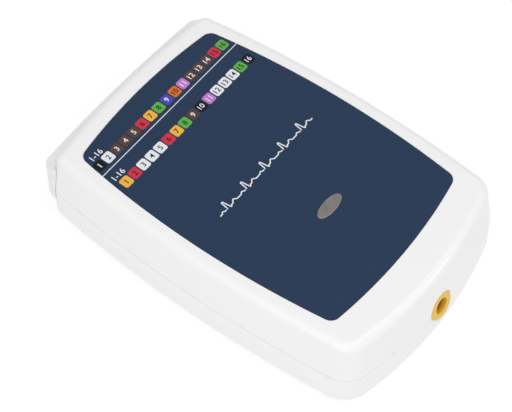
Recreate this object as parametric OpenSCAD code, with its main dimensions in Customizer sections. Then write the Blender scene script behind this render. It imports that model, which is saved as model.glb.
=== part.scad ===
// Patient-signal acquisition box for a computer-based electrocardiograph.
// Millimetres. +Z is up, +Y points to the patient-cable end, -Y to the round data socket.
// The origin lies under the middle of the whole box, on the surface that the feet stand on.

/* [Case] */
// Width of the case at its widest, on the parting line
case_w = 101.6; // [98:0.2:108]
// Length of the case along its middle, on the parting line
case_len = 148.4; // [142:0.2:158]
// Height of the case without its feet
case_h = 31.6; // [30:0.1:35]
// Height of the parting line above the underside of the case
seam_h = 13.6; // [13.2:0.1:14.6]
// Thickness of the case walls
wall = 2.2; // [1.8:0.1:2.6]
// Bulge of each long side
side_bulge = 4.4; // [3:0.1:6]
// Bulge of the cable end
cable_end_bulge = 3.3; // [2.5:0.1:5]
// Bulge of the socket end
socket_end_bulge = 7; // [5:0.1:8]
// Corner radius in plan at the cable end
cable_corner_r = 7.3; // [6.8:0.1:10]
// Corner radius in plan at the socket end
socket_corner_r = 11.7; // [10:0.1:15]
// Lean of the upper walls, in degrees from upright
upper_lean = 10; // [6:0.5:12]
// Lean of the lower walls, in degrees from upright
lower_lean = 3; // [1:0.5:4]
// Radius of the edge round the top
top_edge_r = 3.8; // [2.4:0.1:3.9]
// Radius of the edge round the underside
base_edge_r = 1.4; // [0.8:0.1:2]
// Gap that shows between the two shells
parting_gap = 0.2; // [0.1:0.05:0.4]
// Height of the tongue on the lower shell
tongue_h = 1.2; // [0.8:0.1:1.6]
// Thickness of the tongue
tongue_t = 1; // [0.8:0.1:1.2]
// Clearance beside the tongue
tongue_fit = 0.1; // [0.05:0.05:0.2]

/* [Overlay sheet] */
// Width of the overlay sheet
label_w = 83.5; // [78:0.5:84]
// Length of the overlay sheet
label_len = 120; // [110:0.5:124]
// Bulge of its long sides
label_side_bulge = 4.15; // [3:0.05:5]
// Bulge of its edge towards the cable end
label_cable_bulge = 3.1; // [2:0.1:4]
// Bulge of its edge towards the socket end
label_socket_bulge = 3.3; // [2:0.1:5]
// Corner radius of the sheet
label_corner_r = 4; // [3:0.1:6]
// Thickness of the sheet
label_t = 0.25; // [0.15:0.05:0.4]
// Depth of the sheet's face below the rim of its recess
label_sink = 0.05; // [0.02:0.01:0.1]
// Gap round the sheet in its recess
label_fit = 0.15; // [0.05:0.05:0.3]
// Distance of the sheet's middle from the case's middle, towards the cable end
label_offset = 3.5; // [0:0.1:5]

/* [Indicator] */
// Length of the oval light window
lens_len = 13.1; // [11:0.1:15]
// Width of the oval light window
lens_w = 5.3; // [5:0.1:6.5]
// Height of the window above the overlay sheet
lens_proud = 0.35; // [0.15:0.05:0.6]
// Gap round the window
lens_fit = 0.1; // [0.05:0.05:0.2]
// Distance of the window from the sheet's middle, towards the socket end
lens_offset = 28; // [22:0.5:32]
// Width of the shoulder that seats the window under the top wall
lens_shoulder = 1.2; // [0.8:0.1:2]
// Thickness of that shoulder
lens_shoulder_t = 1; // [0.6:0.1:1.5]
// Diameter of the light guide under the window
light_guide_d = 4.4; // [3.5:0.1:5]
// Gap between the light guide and the lamp
light_gap = 0.3; // [0.2:0.1:0.6]

/* [Cable connector frame] */
// Width of the frame
frame_w = 92.5; // [84:0.5:94]
// Height of the frame
frame_h = 20; // [18.4:0.1:21]
// Height of the frame's middle above the parting line
frame_rise = 0.6; // [0:0.1:1]
// Thickness of the frame at its ends, where it overhangs the case's corners
frame_depth = 8.4; // [8.3:0.1:9]
// Distance that the frame stands out beyond the case
frame_proud = 1.4; // [1.2:0.1:3.5]
// Bulge of the frame's face
frame_bulge = 1.6; // [0.6:0.1:2]
// Bulge of the frame's short sides
frame_side_bulge = 0.1; // [0.1:0.05:0.2]
// Radius of the upright edges of the frame's face
frame_corner_r = 5; // [3:0.5:5]
// Radius of the frame's upright edges at its back
frame_back_r = 1.2; // [0.5:0.1:1.2]
// Lean of the frame's short sides, in degrees from upright
frame_lean = 4; // [0:0.5:6]
// Radius of the upper corners of the frame's face
frame_upper_r = 0.8; // [0.5:0.1:2]
// Radius of the lower corners of the frame's face
frame_lower_r = 5; // [2:0.5:6]
// Gap between the frame and the case behind it
frame_gap = 0.1; // [0.1:0.05:0.4]
// Width of the neck that passes through the end wall
neck_w = 50; // [46:0.5:54]
// Height of the neck
neck_h = 15.8; // [15.4:0.1:16.4]
// Gap round the neck
neck_fit = 0.15; // [0.1:0.05:0.3]
// Height of the lip that holds the neck behind the wall
neck_lip = 1.5; // [1:0.1:2]
// Thickness of that lip
neck_lip_t = 1.6; // [1.2:0.1:2]

/* [Cable connector] */
// Distance between the two screw locks
lock_spacing = 33.3; // [32.8:0.1:34]
// Width of the connector's metal flange
flange_w = 39.1; // [38.6:0.1:40]
// Height of the metal flange
flange_h = 12.5; // [12:0.1:12.8]
// Thickness of the metal flange
flange_t = 0.8; // [0.6:0.1:1]
// Width of the D-shaped metal nose
nose_w = 25; // [24.6:0.1:25.6]
// Height of the D-shaped metal nose
nose_h = 8.4; // [8.2:0.1:8.8]
// Corner radius of the nose
nose_corner_r = 2.4; // [2:0.1:2.8]
// Slant of the nose's sides, in degrees
nose_slant = 10; // [8:1:12]
// Length of the nose in front of its flange
nose_len = 5.9; // [5.7:0.1:6.4]
// Wall of the metal nose
nose_wall = 0.5; // [0.4:0.05:0.6]
// Distance that the nose stands out of the frame
nose_proud = 1.5; // [1:0.1:1.9]
// Gap round the nose, which the shell of the cable's plug enters
nose_gap = 1.2; // [1.1:0.1:1.4]
// Length of the plastic body behind the flange
insulator_len = 7.6; // [7:0.1:8]
// Distance between the contacts in a row
contact_pitch = 2.29; // [2.2:0.01:2.35]
// Distance between the rows of contacts
contact_row = 1.98; // [1.9:0.01:2.05]
// Diameter of the contact holes
contact_hole_d = 1.1; // [1:0.05:1.2]
// Play round each contact in its hole
contact_fit = 0.05; // [0.03:0.01:0.08]
// Side of the square contact tails
tail_side = 0.6; // [0.5:0.05:0.6]
// Width across the flats of a screw lock
lock_af = 4.8; // [4.6:0.1:5]
// Diameter of the thread in and behind a screw lock
lock_thread_d = 2.84; // [2.7:0.02:2.9]
// Depth of the threaded hole in a screw lock
lock_hole_depth = 4; // [3.5:0.1:4.2]
// Thickness of the plastic that a screw lock clamps
lock_web = 1; // [0.8:0.1:1.4]
// Width across the flats of a lock nut
nut_af = 6.3; // [6:0.1:6.4]
// Thickness of a lock nut
nut_t = 2.4; // [2:0.1:2.8]

/* [Round data socket] */
// Diameter of the coloured bezel
socket_d = 11.8; // [11:0.1:12.4]
// Diameter of the open bore
socket_bore_d = 6.4; // [6:0.1:6.8]
// Depth of the open bore
socket_depth = 6; // [5:0.1:7]
// Upward tilt of the socket, in degrees
socket_tilt = 13; // [8:1:16]
// Distance of the bezel's middle beyond the case
socket_proud = 0.4; // [0.2:0.1:1.2]
// Distance of the socket's middle below the parting line
socket_drop = 0.3; // [0:0.1:0.8]
// Length of the whole barrel
socket_len = 12; // [11.5:0.1:13]
// Gap round the barrel in the shells
socket_fit = 0.1; // [0.05:0.05:0.2]
// Diameter of the collar behind the wall
collar_d = 15.2; // [14.6:0.1:16]
// Thickness of the collar
collar_t = 1.6; // [1.2:0.1:1.8]
// Distance of the collar behind the bezel's face
collar_back = 4.4; // [4.2:0.1:4.8]
// Thickness of the cradle ribs behind the collar
cradle_t = 1.6; // [1.2:0.1:2]
// Width of the cradle ribs
cradle_w = 22; // [20:0.5:26]
// Diameter of the insulator at the bottom of the bore
insert_d = 7.2; // [7:0.1:7.6]
// Diameter of the circle that the contacts stand on
pin_circle_d = 3.4; // [3:0.1:3.8]
// Diameter of a contact
pin_d = 0.8; // [0.7:0.05:0.9]
// Number of contacts and wires
pin_count = 4; // [3:1:5]
// Diameter of an insulated wire
wire_d = 1.1; // [0.9:0.1:1.2]

/* [Fasteners and feet] */
// Distance of the case screws from the long sides
screw_inset_x = 13; // [12.5:0.1:13.2]
// Distance of the case screws from the ends
screw_inset_y = 18; // [17:0.1:20]
// Diameter of a case screw
screw_d = 2.9; // [2.7:0.05:3]
// Length of a case screw under its head
screw_len = 12; // [11:0.5:13]
// Diameter of a case screw's head
screw_head_d = 5.5; // [5:0.1:5.8]
// Height of a case screw's head
screw_head_h = 2.4; // [2:0.1:2.6]
// Height of the screw head's seat above the underside
screw_seat_h = 5.6; // [5:0.1:6.5]
// Play round the screws
screw_fit = 0.2; // [0.1:0.05:0.3]
// Diameter of a threaded insert
insert_od = 4.4; // [4.2:0.1:4.8]
// Length of a threaded insert
insert_len = 5; // [4:0.1:6]
// Play between a screw and its thread, and round an insert
thread_fit = 0.05; // [0.03:0.01:0.08]
// Diameter of the bosses in the upper shell
top_boss_d = 7.2; // [6.8:0.1:7.6]
// Diameter of the bosses in the lower shell
base_boss_d = 8.8; // [8.4:0.1:9]
// Diameter of a foot
foot_d = 10; // [8:0.5:12]
// Height of a foot below the case
foot_h = 1.2; // [0.8:0.1:2]
// Depth of the foot's seat
foot_seat = 0.5; // [0.3:0.1:0.8]
// Gap round a foot in its seat
foot_fit = 0.1; // [0.05:0.05:0.3]
// Distance of the feet from the long sides
foot_inset_x = 17; // [16:0.5:20]
// Distance of the feet from the ends
foot_inset_y = 30; // [27:0.5:36]
// Width of the blank rating plate
plate_w = 50; // [40:1:54]
// Length of the blank rating plate
plate_len = 70; // [50:1:80]
// Thickness of the rating plate
plate_t = 0.3; // [0.2:0.05:0.5]

/* [Main board] */
// Width of the board
board_w = 64; // [60:0.5:65]
// Thickness of the board
board_t = 1.6; // [1.2:0.1:1.6]
// Distance of the board's edge from the socket end
board_back = 20; // [19:0.5:21]
// Height of the board's seats above the floor
standoff_h = 3.4; // [3:0.1:3.6]
// Diameter of the board's seats
standoff_d = 6; // [5:0.1:7]
// Distance of the board's screws from its long edges
board_hole_x = 5; // [4:0.1:6]
// Distance of the board's screws from its socket edge
board_hole_back = 7; // [6:0.5:8]
// Distance of the board's screws from its cable edge
board_hole_front = 13; // [12:0.5:15]
// Diameter of a board screw
board_screw_d = 2.3; // [2:0.1:2.5]
// Length of a board screw under its head
board_screw_len = 4.6; // [4.2:0.1:4.8]
// Diameter of a board screw's head
board_head_d = 4.6; // [4:0.1:5]
// Height of a board screw's head
board_head_h = 1.6; // [1.2:0.1:2]
// Diameter of the holes that take contact tails
board_pin_hole_d = 1; // [0.95:0.05:1.1]

/* [Hidden] */

// Smoothness of bores and round pieces
$fn = 48;
// Points along each of the eight arcs of an outline
arc_steps = 8;
// Steps in the rolled edges of the shells
edge_steps = 6;
// Overlap that welds two shapes of one piece
weld = 0.4;
// Distance that a cut runs past the face it leaves
over = 1;
// Width of the flat that breaks the edge of a turned or moulded round piece
chamfer = 0.4;
// Corner radius of flat sheets and flanges
sheet_corner_r = 2;
flange_corner_r = 1;

// ---- Heights ----
base_z = foot_h;
floor_z = base_z + wall;
seam_z = base_z + seam_h;
top_z = base_z + case_h;
ceiling_z = top_z - label_sink - label_t - wall;
board_z = floor_z + standoff_h;
board_top_z = board_z + board_t;

// ---- Outlines ----
// A point of an outline is [x, y, outward normal x, outward normal y].
function arc(cx, cy, r, from, to) = [
    for (i = [0:arc_steps - 1])
    let (a = from + (to - from) * i / arc_steps)
    [cx + r * cos(a), cy + r * sin(a), cos(a), sin(a)]
];

function bow_radius(half_chord, bulge) = (half_chord * half_chord + bulge * bulge) / (2 * bulge);

// The crossing of two circles that lies on the given side (1 or -1) of the line joining them
function crossing(p, rp, q, rq, side) =
    let (d = norm(q - p), t = (rp * rp - rq * rq + d * d) / (2 * d),
         h = sqrt(rp * rp - t * t), along = (q - p) / d)
    p + along * t + [-along.y, along.x] * h * side;

function direction(from, to) = atan2(to.y - from.y, to.x - from.x);

// A rectangle with four bulging sides and rounded corners, about its own middle:
// a and b are its half width and half length, s, s1 and s2 the bulges of the long sides
// and of the two ends, r1 and r2 the corner radii at the two ends.
function bulged(a, b, s, s1, s2, r1, r2) =
    let (
        side_r = bow_radius(b - (s1 + s2) / 2, s),
        end1_r = bow_radius(a - s, s1),
        end2_r = bow_radius(a - s, s2),
        side_c = [a - side_r, (s2 - s1) / 2],
        end1_c = [0, b - end1_r],
        end2_c = [0, end2_r - b],
        c1 = crossing(side_c, side_r - r1, end1_c, end1_r - r1, 1),
        c2 = crossing(side_c, side_r - r2, end2_c, end2_r - r2, -1),
        side1 = direction(side_c, c1),
        side2 = direction(side_c, c2),
        end1 = direction(end1_c, c1),
        end2 = direction(end2_c, c2)
    )
    concat(
        arc(side_c.x, side_c.y, side_r, side2, side1),
        arc(c1.x, c1.y, r1, side1, end1),
        arc(0, end1_c.y, end1_r, end1, 180 - end1),
        arc(-c1.x, c1.y, r1, 180 - end1, 180 - side1),
        arc(-side_c.x, side_c.y, side_r, 180 - side1, 180 - side2),
        arc(-c2.x, c2.y, r2, 180 - side2, 180 - end2),
        arc(0, end2_c.y, end2_r, 180 - end2, 360 + end2),
        arc(c2.x, c2.y, r2, 360 + end2, 360 + side2)
    );

// An outline moved inwards, as flat points or as a ring at a height
function inset2(outline, inset, shift = 0) =
    [for (p = outline) [p[0] - inset * p[2], p[1] - inset * p[3] + shift]];
function ring(outline, inset, z, shift = 0) =
    [for (p = inset2(outline, inset, shift)) [p.x, p.y, z]];

case_outline = bulged(case_w / 2, case_len / 2, side_bulge, cable_end_bulge, socket_end_bulge,
    cable_corner_r, socket_corner_r);
label_outline = bulged(label_w / 2, label_len / 2, label_side_bulge, label_cable_bulge,
    label_socket_bulge, label_corner_r, label_corner_r);

// ---- Places along the box ----
// How far the round socket and the cable connector reach from the case's middle
socket_reach = case_len / 2 + socket_proud + socket_d / 2 * sin(socket_tilt);
frame_face = case_len / 2 + frame_proud;
cable_reach = frame_face + nose_proud;
// Place of the case's middle, so that the whole box is centred
case_y = (socket_reach - cable_reach) / 2;
label_y = case_y + label_offset;
lens_y = label_y - lens_offset;
face_y = case_y + frame_face;
panel_t = nose_len - nose_proud;
panel_y = face_y - panel_t;
insulator_y = panel_y - flange_t - insulator_len;
socket_y = case_y - case_len / 2 - socket_proud;
socket_z = seam_z - socket_drop;

// ---- Profile of the walls ----
function lean_in(z) = (z - seam_z) * tan(upper_lean);
function lean_out(z) = (seam_z - z) * tan(lower_lean);

// Horizontal thickness of the leaning walls
upper_wall = wall / cos(upper_lean);
lower_wall = wall / cos(lower_lean);

// A ring of the edge that rolls into the upper walls, under a flat face at a height, and one
// of the edge that rolls into the lower walls, over a flat face; behind is the wall's
// thickness for an inner edge, and a the angle round the edge
function top_roll(r, face, behind, a) =
    let (z = face - r, inset = lean_in(z + r * sin(upper_lean)) + behind + r * cos(upper_lean))
    ring(case_outline, inset - r * cos(a), z + r * sin(a), case_y);
function base_roll(r, face, behind, a) =
    let (z = face + r, inset = behind + r * cos(lower_lean) - lean_out(z + r * sin(lower_lean)))
    ring(case_outline, inset - r * cos(a), z + r * sin(a), case_y);

// Angles round these edges, from the flat face to the wall
top_turn = [for (i = [0:edge_steps]) 90 - (90 - upper_lean) * i / edge_steps];
base_turn = [for (i = [0:edge_steps]) (90 + lower_lean) * i / edge_steps - 90];
inner_edge_r = 1;

tongue_z = seam_z + tongue_h;
tongue_in = lower_wall - tongue_t;
seam_hi = seam_z + parting_gap / 2;
seam_lo = seam_z - parting_gap / 2;

top_rings = concat(
    [ring(label_outline, -label_fit, top_z - label_sink - label_t, label_y)],
    [ring(label_outline, -label_fit, top_z, label_y)],
    [for (a = top_turn) top_roll(top_edge_r, top_z, 0, a)],
    [ring(case_outline, lean_in(seam_hi), seam_hi, case_y)],
    [ring(case_outline, tongue_in - tongue_fit, seam_hi, case_y)],
    [ring(case_outline, tongue_in - tongue_fit, tongue_z, case_y)],
    [ring(case_outline, lean_in(tongue_z) + upper_wall, tongue_z, case_y)],
    [for (i = [edge_steps:-1:0]) top_roll(inner_edge_r, ceiling_z, upper_wall, top_turn[i])]
);

base_rings = concat(
    [for (a = base_turn) base_roll(inner_edge_r, floor_z, lower_wall, a)],
    [ring(case_outline, lower_wall, seam_lo, case_y)],
    [ring(case_outline, lower_wall, tongue_z, case_y)],
    [ring(case_outline, tongue_in, tongue_z, case_y)],
    [ring(case_outline, tongue_in, seam_lo, case_y)],
    [ring(case_outline, -lean_out(seam_lo), seam_lo, case_y)],
    [for (i = [edge_steps:-1:0]) base_roll(base_edge_r, base_z, 0, base_turn[i])]
);

// A closed skin over a list of rings, closed flat over the first and the last ring.
// The first ring runs anticlockwise as seen from outside its own end.
module skin(rings) {
    count = len(rings[0]);
    last = len(rings) - 1;
    polyhedron(
        points = [for (r = rings) each r],
        faces = concat(
            [[for (i = [count - 1:-1:0]) i]],
            [for (k = [0:last - 1], i = [0:count - 1])
                let (j = (i + 1) % count) [k * count + i, k * count + j, (k + 1) * count + j]],
            [for (k = [0:last - 1], i = [0:count - 1])
                let (j = (i + 1) % count) [k * count + i, (k + 1) * count + j, (k + 1) * count + i]],
            [[for (i = [0:count - 1]) last * count + i]]
        ),
        convexity = 8
    );
}

// A box about its middle in X and Y, standing on z = 0
module block(size) {
    translate([-size.x / 2, -size.y / 2, 0]) cube(size);
}

// ---- Places that several pieces share ----
screw_places = [for (sx = [-1, 1], sy = [-1, 1])
    [sx * (case_w / 2 - screw_inset_x), case_y + sy * (case_len / 2 - screw_inset_y)]];
foot_places = [for (sx = [-1, 1], sy = [-1, 1])
    [sx * (case_w / 2 - foot_inset_x), case_y + sy * (case_len / 2 - foot_inset_y)]];
lock_places = [for (s = [-1, 1]) s * lock_spacing / 2];

// Distance of the first contact tail behind the plastic body, and between the rows of tails
tail_first = 2.4;
tail_step = 2;
// How far the tails and pins reach below the board
tail_below = 0.8;
board_edge_gap = 0.4;
board_y0 = case_y - case_len / 2 + board_back;
board_y1 = insulator_y - board_edge_gap;
board_holes = [for (sx = [-1, 1], y = [board_y0 + board_hole_back, board_y1 - board_hole_front])
    [sx * (board_w / 2 - board_hole_x), y]];

// The contacts of the cable connector: [x, height about its middle, row]
contact_rows = [9, 9, 8];
contacts = [for (row = [0:2], i = [0:contact_rows[row] - 1])
    [(i - (contact_rows[row] - 1) / 2 + (row == 1 ? 0.25 : row == 0 ? -0.25 : 0)) * contact_pitch,
        (1 - row) * contact_row, row]];
function tail_y(row) = insulator_y - tail_first - (2 - row) * tail_step;

// The header that takes the socket's wires, at the board's socket edge
header_w = 12;
header_len = 7.6;
header_h = 5.2;
header_wall = 0.8;
plug_fit = 0.1;
plug_len = 8;
plug_w = header_w - 2 * header_wall - 2 * plug_fit;
plug_h = header_h - 2 * header_wall - 2 * plug_fit;
plug_z = board_top_z + header_wall + plug_fit;
plug_pitch = 2;
header_back = 1.2;
header_y = board_y0 + header_len / 2;
plug_y1 = board_y0 + header_len - header_back - plug_fit;
header_pin_side = 0.5;
plug_x = [for (i = [0:pin_count - 1]) (i - (pin_count - 1) / 2) * plug_pitch];

// ---- Small pieces: sizes and places ----
screw_seat_z = base_z + screw_seat_h;
screw_tip_z = screw_seat_z + screw_len;

// The lamp under the light guide
lamp_w = 3.5;
lamp_len = 2.8;
lamp_h = 1.9;
lamp_cup_d = 2.2;
lamp_cup_depth = 0.4;

// The cable connector: play of the locks, pocket behind the panel, body and contacts
lock_play = 0.2;
lock_pocket_gap = 0.5;
lock_d = lock_af / cos(30);
nut_d = nut_af / cos(30);
pocket_gap = 0.3;
pocket_w = max(flange_w, lock_spacing + nut_d) + 2 * pocket_gap;
pocket_h = flange_h + 2 * pocket_gap;
insulator_sink = 0.2;
insulator_w = lock_spacing - nut_d - 2 * pocket_gap;
insulator_h = 10;
contact_sink = 1;

// The round socket's contacts and wires
pin_tail = 1.6;
pin_sink = 0.8;
wire_gap = 0.2;
wire_slack = 0.6;
wire_steps = 8;
wire_sides = 8;
// Which place of the plug each contact's wire goes to, so that no wires cross
wire_order = pin_count == 4 ? [3, 1, 0, 2] : [for (i = [0:pin_count - 1]) i];
plug_hole = 0.8;
pin_reach = 4;
header_pin_y = board_y0 + header_len + 1;

// Front end: one resistor for each electrode, and the amplifiers under their can
resistor_count = 16;
resistor_pitch = 2.6;
resistor_w = 1.6;
resistor_len = 3.2;
resistor_h = 0.6;
resistor_y = tail_y(0) - tail_step - resistor_len / 2;
can_w = 40;
can_len = 30;
can_h = 4.5;
can_wall = 0.3;
part_gap = 3;
can_y = resistor_y - resistor_len / 2 - part_gap - can_len / 2;
leg_side = 0.4;
flat_leg_reach = 1;
wide_leg_reach = 1.4;
amp_side = 12;
amp_h = 1.2;
amp_legs = 12;

// Across the patient barrier, and the computer's side
iso_w = 7.5;
iso_len = 10.3;
iso_h = 2.4;
iso_legs = 8;
isolator_chip_y = can_y - can_len / 2 - part_gap - iso_len / 2;
isolator_end = isolator_chip_y - iso_len / 2;
converter_w = 10;
converter_len = 20;
converter_h = 10;
converter_y = isolator_end - part_gap - converter_len / 2;
mcu_side = 14;
mcu_h = 1.4;
mcu_legs = 16;
mcu_x = can_w / 2 - part_gap;
mcu_y = isolator_end - part_gap - mcu_side / 2;
crystal_len = 11;
crystal_w = 4.7;
crystal_h = 3.5;
crystal_corner_r = 2.3;
crystal_y = mcu_y - mcu_side / 2 - part_gap - crystal_w / 2;
capacitor_d = 6.3;
capacitor_h = 7;
capacitor_base = 6.6;
capacitor_base_h = 1;
capacitor_y = converter_y - converter_len / 2 - part_gap - capacitor_d / 2;
capacitor_places = [
    [-can_w / 2, capacitor_y],
    [-can_w / 2, capacitor_y - capacitor_d - part_gap],
    [mcu_x, crystal_y - crystal_w / 2 - part_gap - capacitor_d / 2]
];

function corner(x, z, r, from, to) =
    [for (i = [0:arc_steps]) let (a = from + (to - from) * i / arc_steps) [x + r * cos(a), z + r * sin(a)]];

// A rectangle with rounded corners, about its middle, whose sides may slant inwards downwards
// and whose lower corners may have a larger radius
function d_outline(w, h, r, slant = 0, low_r = 0) =
    let (q = max(r, low_r), x = w / 2 - r, z = h / 2 - r, low_z = h / 2 - q,
         low_x = x - (z + low_z) * tan(slant) + (r - q) / cos(slant))
    concat(
        corner(x, z, r, -slant, 90),
        corner(-x, z, r, 90, 180 + slant),
        corner(-low_x, -low_z, q, 180 + slant, 270),
        corner(low_x, -low_z, q, 270, 360 - slant)
    );

// ---- Shell details ----
module at_socket() {
    translate([0, socket_y, socket_z]) rotate([90 - socket_tilt, 0, 0]) children();
}

// The hole for the round socket's barrel
module socket_hole() {
    at_socket() translate([0, 0, -socket_len - over])
        cylinder(d = socket_d + 2 * socket_fit, h = 2 * socket_len);
}

// A rib that stands behind the socket's collar, between two heights
module cradle(z0, z1) {
    rib_back = collar_back + collar_t + socket_fit;
    intersection() {
        at_socket() translate([-cradle_w / 2, -case_h, -rib_back - cradle_t])
            cube([cradle_w, 2 * case_h, cradle_t]);
        translate([-case_w / 2, -case_len, z0]) cube([case_w, case_len, z1 - z0]);
    }
}

// The opening for the neck of the connector frame
module neck_opening() {
    w = neck_w + 2 * neck_fit;
    h = neck_h + 2 * neck_fit;
    translate([-w / 2, case_y + case_len / 2 - cable_end_bulge - case_h / 2, seam_z - h / 2])
        cube([w, case_len, h]);
}

function oval(len, w) =
    [for (i = [0:$fn - 1]) [len / 2 * cos(360 * i / $fn), w / 2 * sin(360 * i / $fn)]];

module top_shell() {
    insert_top = seam_hi + insert_len;
    color("white") difference() {
        union() {
            skin(top_rings);
            for (p = screw_places)
                translate([p.x, p.y, seam_hi]) cylinder(d = top_boss_d, h = ceiling_z + weld - seam_hi);
            cradle(seam_hi, ceiling_z + weld);
        }
        for (p = screw_places) {
            translate([p.x, p.y, seam_hi - over])
                cylinder(d = insert_od + 2 * thread_fit, h = insert_len + over);
            translate([p.x, p.y, seam_hi])
                cylinder(d = screw_d + 2 * screw_fit, h = max(insert_top, screw_tip_z) + over - seam_hi);
        }
        translate([0, lens_y, ceiling_z - over]) linear_extrude(case_h)
            polygon(oval(lens_len + 2 * lens_fit, lens_w + 2 * lens_fit));
        neck_opening();
        socket_hole();
    }
}

module bottom_shell() {
    pilot_z = board_top_z - board_screw_len - screw_fit;
    color("white") difference() {
        union() {
            skin(base_rings);
            for (p = screw_places)
                translate([p.x, p.y, floor_z - weld])
                    cylinder(d = base_boss_d, h = seam_lo - floor_z + weld);
            for (p = board_holes)
                translate([p.x, p.y, floor_z - weld]) cylinder(d = standoff_d, h = standoff_h + weld);
            cradle(floor_z - weld, seam_lo);
        }
        for (p = screw_places) {
            translate([p.x, p.y, base_z - over])
                cylinder(d = screw_head_d + 2 * screw_fit, h = screw_seat_h + over);
            translate([p.x, p.y, base_z]) cylinder(d = screw_d + 2 * screw_fit, h = case_h);
        }
        for (p = board_holes)
            translate([p.x, p.y, pilot_z]) cylinder(d = board_screw_d + 2 * thread_fit, h = case_h);
        for (p = foot_places)
            translate([p.x, p.y, base_z - over])
                cylinder(d = foot_d + 2 * foot_fit, h = foot_seat + over);
        neck_opening();
        socket_hole();
    }
}

// ---- Top of the case ----
module label_overlay() {
    color("#2d3f58") translate([0, 0, top_z - label_sink - label_t]) linear_extrude(label_t) difference() {
        polygon(inset2(label_outline, 0, label_y));
        translate([0, lens_y]) polygon(oval(lens_len + 2 * lens_fit, lens_w + 2 * lens_fit));
    }
}

module indicator_lens() {
    lens_h = label_t + wall + lens_proud;
    shoulder_z = ceiling_z - lens_shoulder_t;
    guide_z = board_top_z + lamp_h + light_gap;
    color("#8f9196") translate([0, lens_y, 0]) {
        translate([0, 0, ceiling_z]) linear_extrude(lens_h) polygon(oval(lens_len, lens_w));
        translate([0, 0, shoulder_z]) linear_extrude(lens_shoulder_t)
            polygon(oval(lens_len + 2 * lens_shoulder, lens_w + 2 * lens_shoulder));
        translate([0, 0, guide_z]) cylinder(d = light_guide_d, h = shoulder_z - guide_z + weld);
    }
}

module indicator_led() {
    color("ivory") translate([0, lens_y, board_top_z]) difference() {
        block([lamp_w, lamp_len, lamp_h]);
        translate([0, 0, lamp_h - lamp_cup_depth]) cylinder(d = lamp_cup_d, h = lamp_h);
    }
}

// ---- Cable connector ----
// A shape drawn in X and Z, extruded along Y
module along_y(y0, y1) {
    translate([0, y1, seam_z]) rotate([90, 0, 0]) linear_extrude(y1 - y0) children();
}

// A round rod along Y at the height of the parting line
module rod_y(d, y0, y1, x = 0, up = 0) {
    translate([x, y0, seam_z + up]) rotate([-90, 0, 0]) cylinder(d = d, h = y1 - y0);
}

// The outline of the connector's metal nose, grown by a gap or shrunk by a negative one
module nose_outline(gap = 0) {
    polygon(d_outline(nose_w + 2 * gap, nose_h + 2 * gap, nose_corner_r + gap, nose_slant));
}

module connector_frame() {
    plan = bulged(frame_w / 2 + frame_side_bulge, frame_depth / 2, frame_side_bulge,
        frame_bulge, frame_side_bulge, frame_corner_r, frame_back_r);
    upper_w = frame_w - 2 * (frame_h / 2 + frame_rise) * tan(frame_lean);
    lip_x = neck_w / 2 + neck_lip;
    lip_h = neck_h + 2 * neck_lip;
    end_r = bow_radius(case_w / 2 - side_bulge, cable_end_bulge);
    end_drop = end_r - sqrt(end_r * end_r - lip_x * lip_x);
    lip_y = case_y + case_len / 2 - end_drop - lean_in(seam_z + lip_h / 2) - upper_wall - frame_gap;
    back_y = lip_y - neck_lip_t;
    color("#f2f2f0") difference() {
        union() {
            intersection() {
                translate([0, face_y - frame_depth / 2, 0]) linear_extrude(top_z) polygon(inset2(plan, 0));
                union() {
                    difference() {
                        along_y(face_y - frame_depth - over, face_y + over) translate([0, frame_rise])
                            polygon(d_outline(upper_w, frame_h, frame_upper_r, -frame_lean, frame_lower_r));
                        skin([
                            ring(case_outline, lean_in(top_z) - frame_gap, top_z, case_y),
                            ring(case_outline, -frame_gap, seam_z, case_y),
                            ring(case_outline, -lean_out(base_z) - frame_gap, base_z, case_y)
                        ]);
                    }
                    along_y(back_y, face_y + over) square([neck_w, neck_h], center = true);
                }
            }
            along_y(back_y, lip_y) square([2 * lip_x, lip_h], center = true);
        }
        along_y(back_y - over, panel_y) square([pocket_w, pocket_h], center = true);
        along_y(panel_y - over, face_y + over) nose_outline(nose_gap);
        for (x = lock_places) {
            rod_y(lock_thread_d + 2 * lock_play, panel_y - over, face_y + over, x);
            rod_y(lock_d + 2 * lock_pocket_gap, panel_y + lock_web, face_y + over, x);
        }
    }
}

module lead_connector_shell() {
    color("silver") difference() {
        union() {
            along_y(panel_y - flange_t, panel_y) polygon(d_outline(flange_w, flange_h, flange_corner_r));
            along_y(panel_y - flange_t, panel_y + nose_len) nose_outline();
        }
        along_y(panel_y - flange_t - over, panel_y + nose_len + over) nose_outline(-nose_wall);
        for (x = lock_places)
            rod_y(lock_thread_d + 2 * lock_play, panel_y - flange_t - over, panel_y + over, x);
    }
}

module lead_connector_insulator() {
    front_y = panel_y + nose_len - insulator_sink;
    color("#1c1c1e") difference() {
        union() {
            along_y(panel_y - flange_t - weld, front_y) nose_outline(-nose_wall - contact_fit);
            along_y(insulator_y, panel_y - flange_t)
                polygon(d_outline(insulator_w, insulator_h, flange_corner_r));
        }
        for (c = contacts) rod_y(contact_hole_d, insulator_y - over, front_y + over, c[0], c[1]);
    }
}

module lead_connector_contacts() {
    front_y = panel_y + nose_len - insulator_sink - contact_sink;
    color("gold") for (c = contacts) {
        rod_y(contact_hole_d - 2 * contact_fit, insulator_y, front_y, c[0], c[1]);
        translate([c[0], 0, seam_z + c[1]]) {
            translate([-tail_side / 2, tail_y(c[2]) - tail_side / 2, -tail_side / 2])
                cube([tail_side, insulator_y + weld - tail_y(c[2]) + tail_side / 2, tail_side]);
            translate([0, tail_y(c[2]), board_z - tail_below - seam_z - c[1]])
                block([tail_side, tail_side, seam_z + c[1] - board_z + tail_below]);
        }
    }
}

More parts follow.
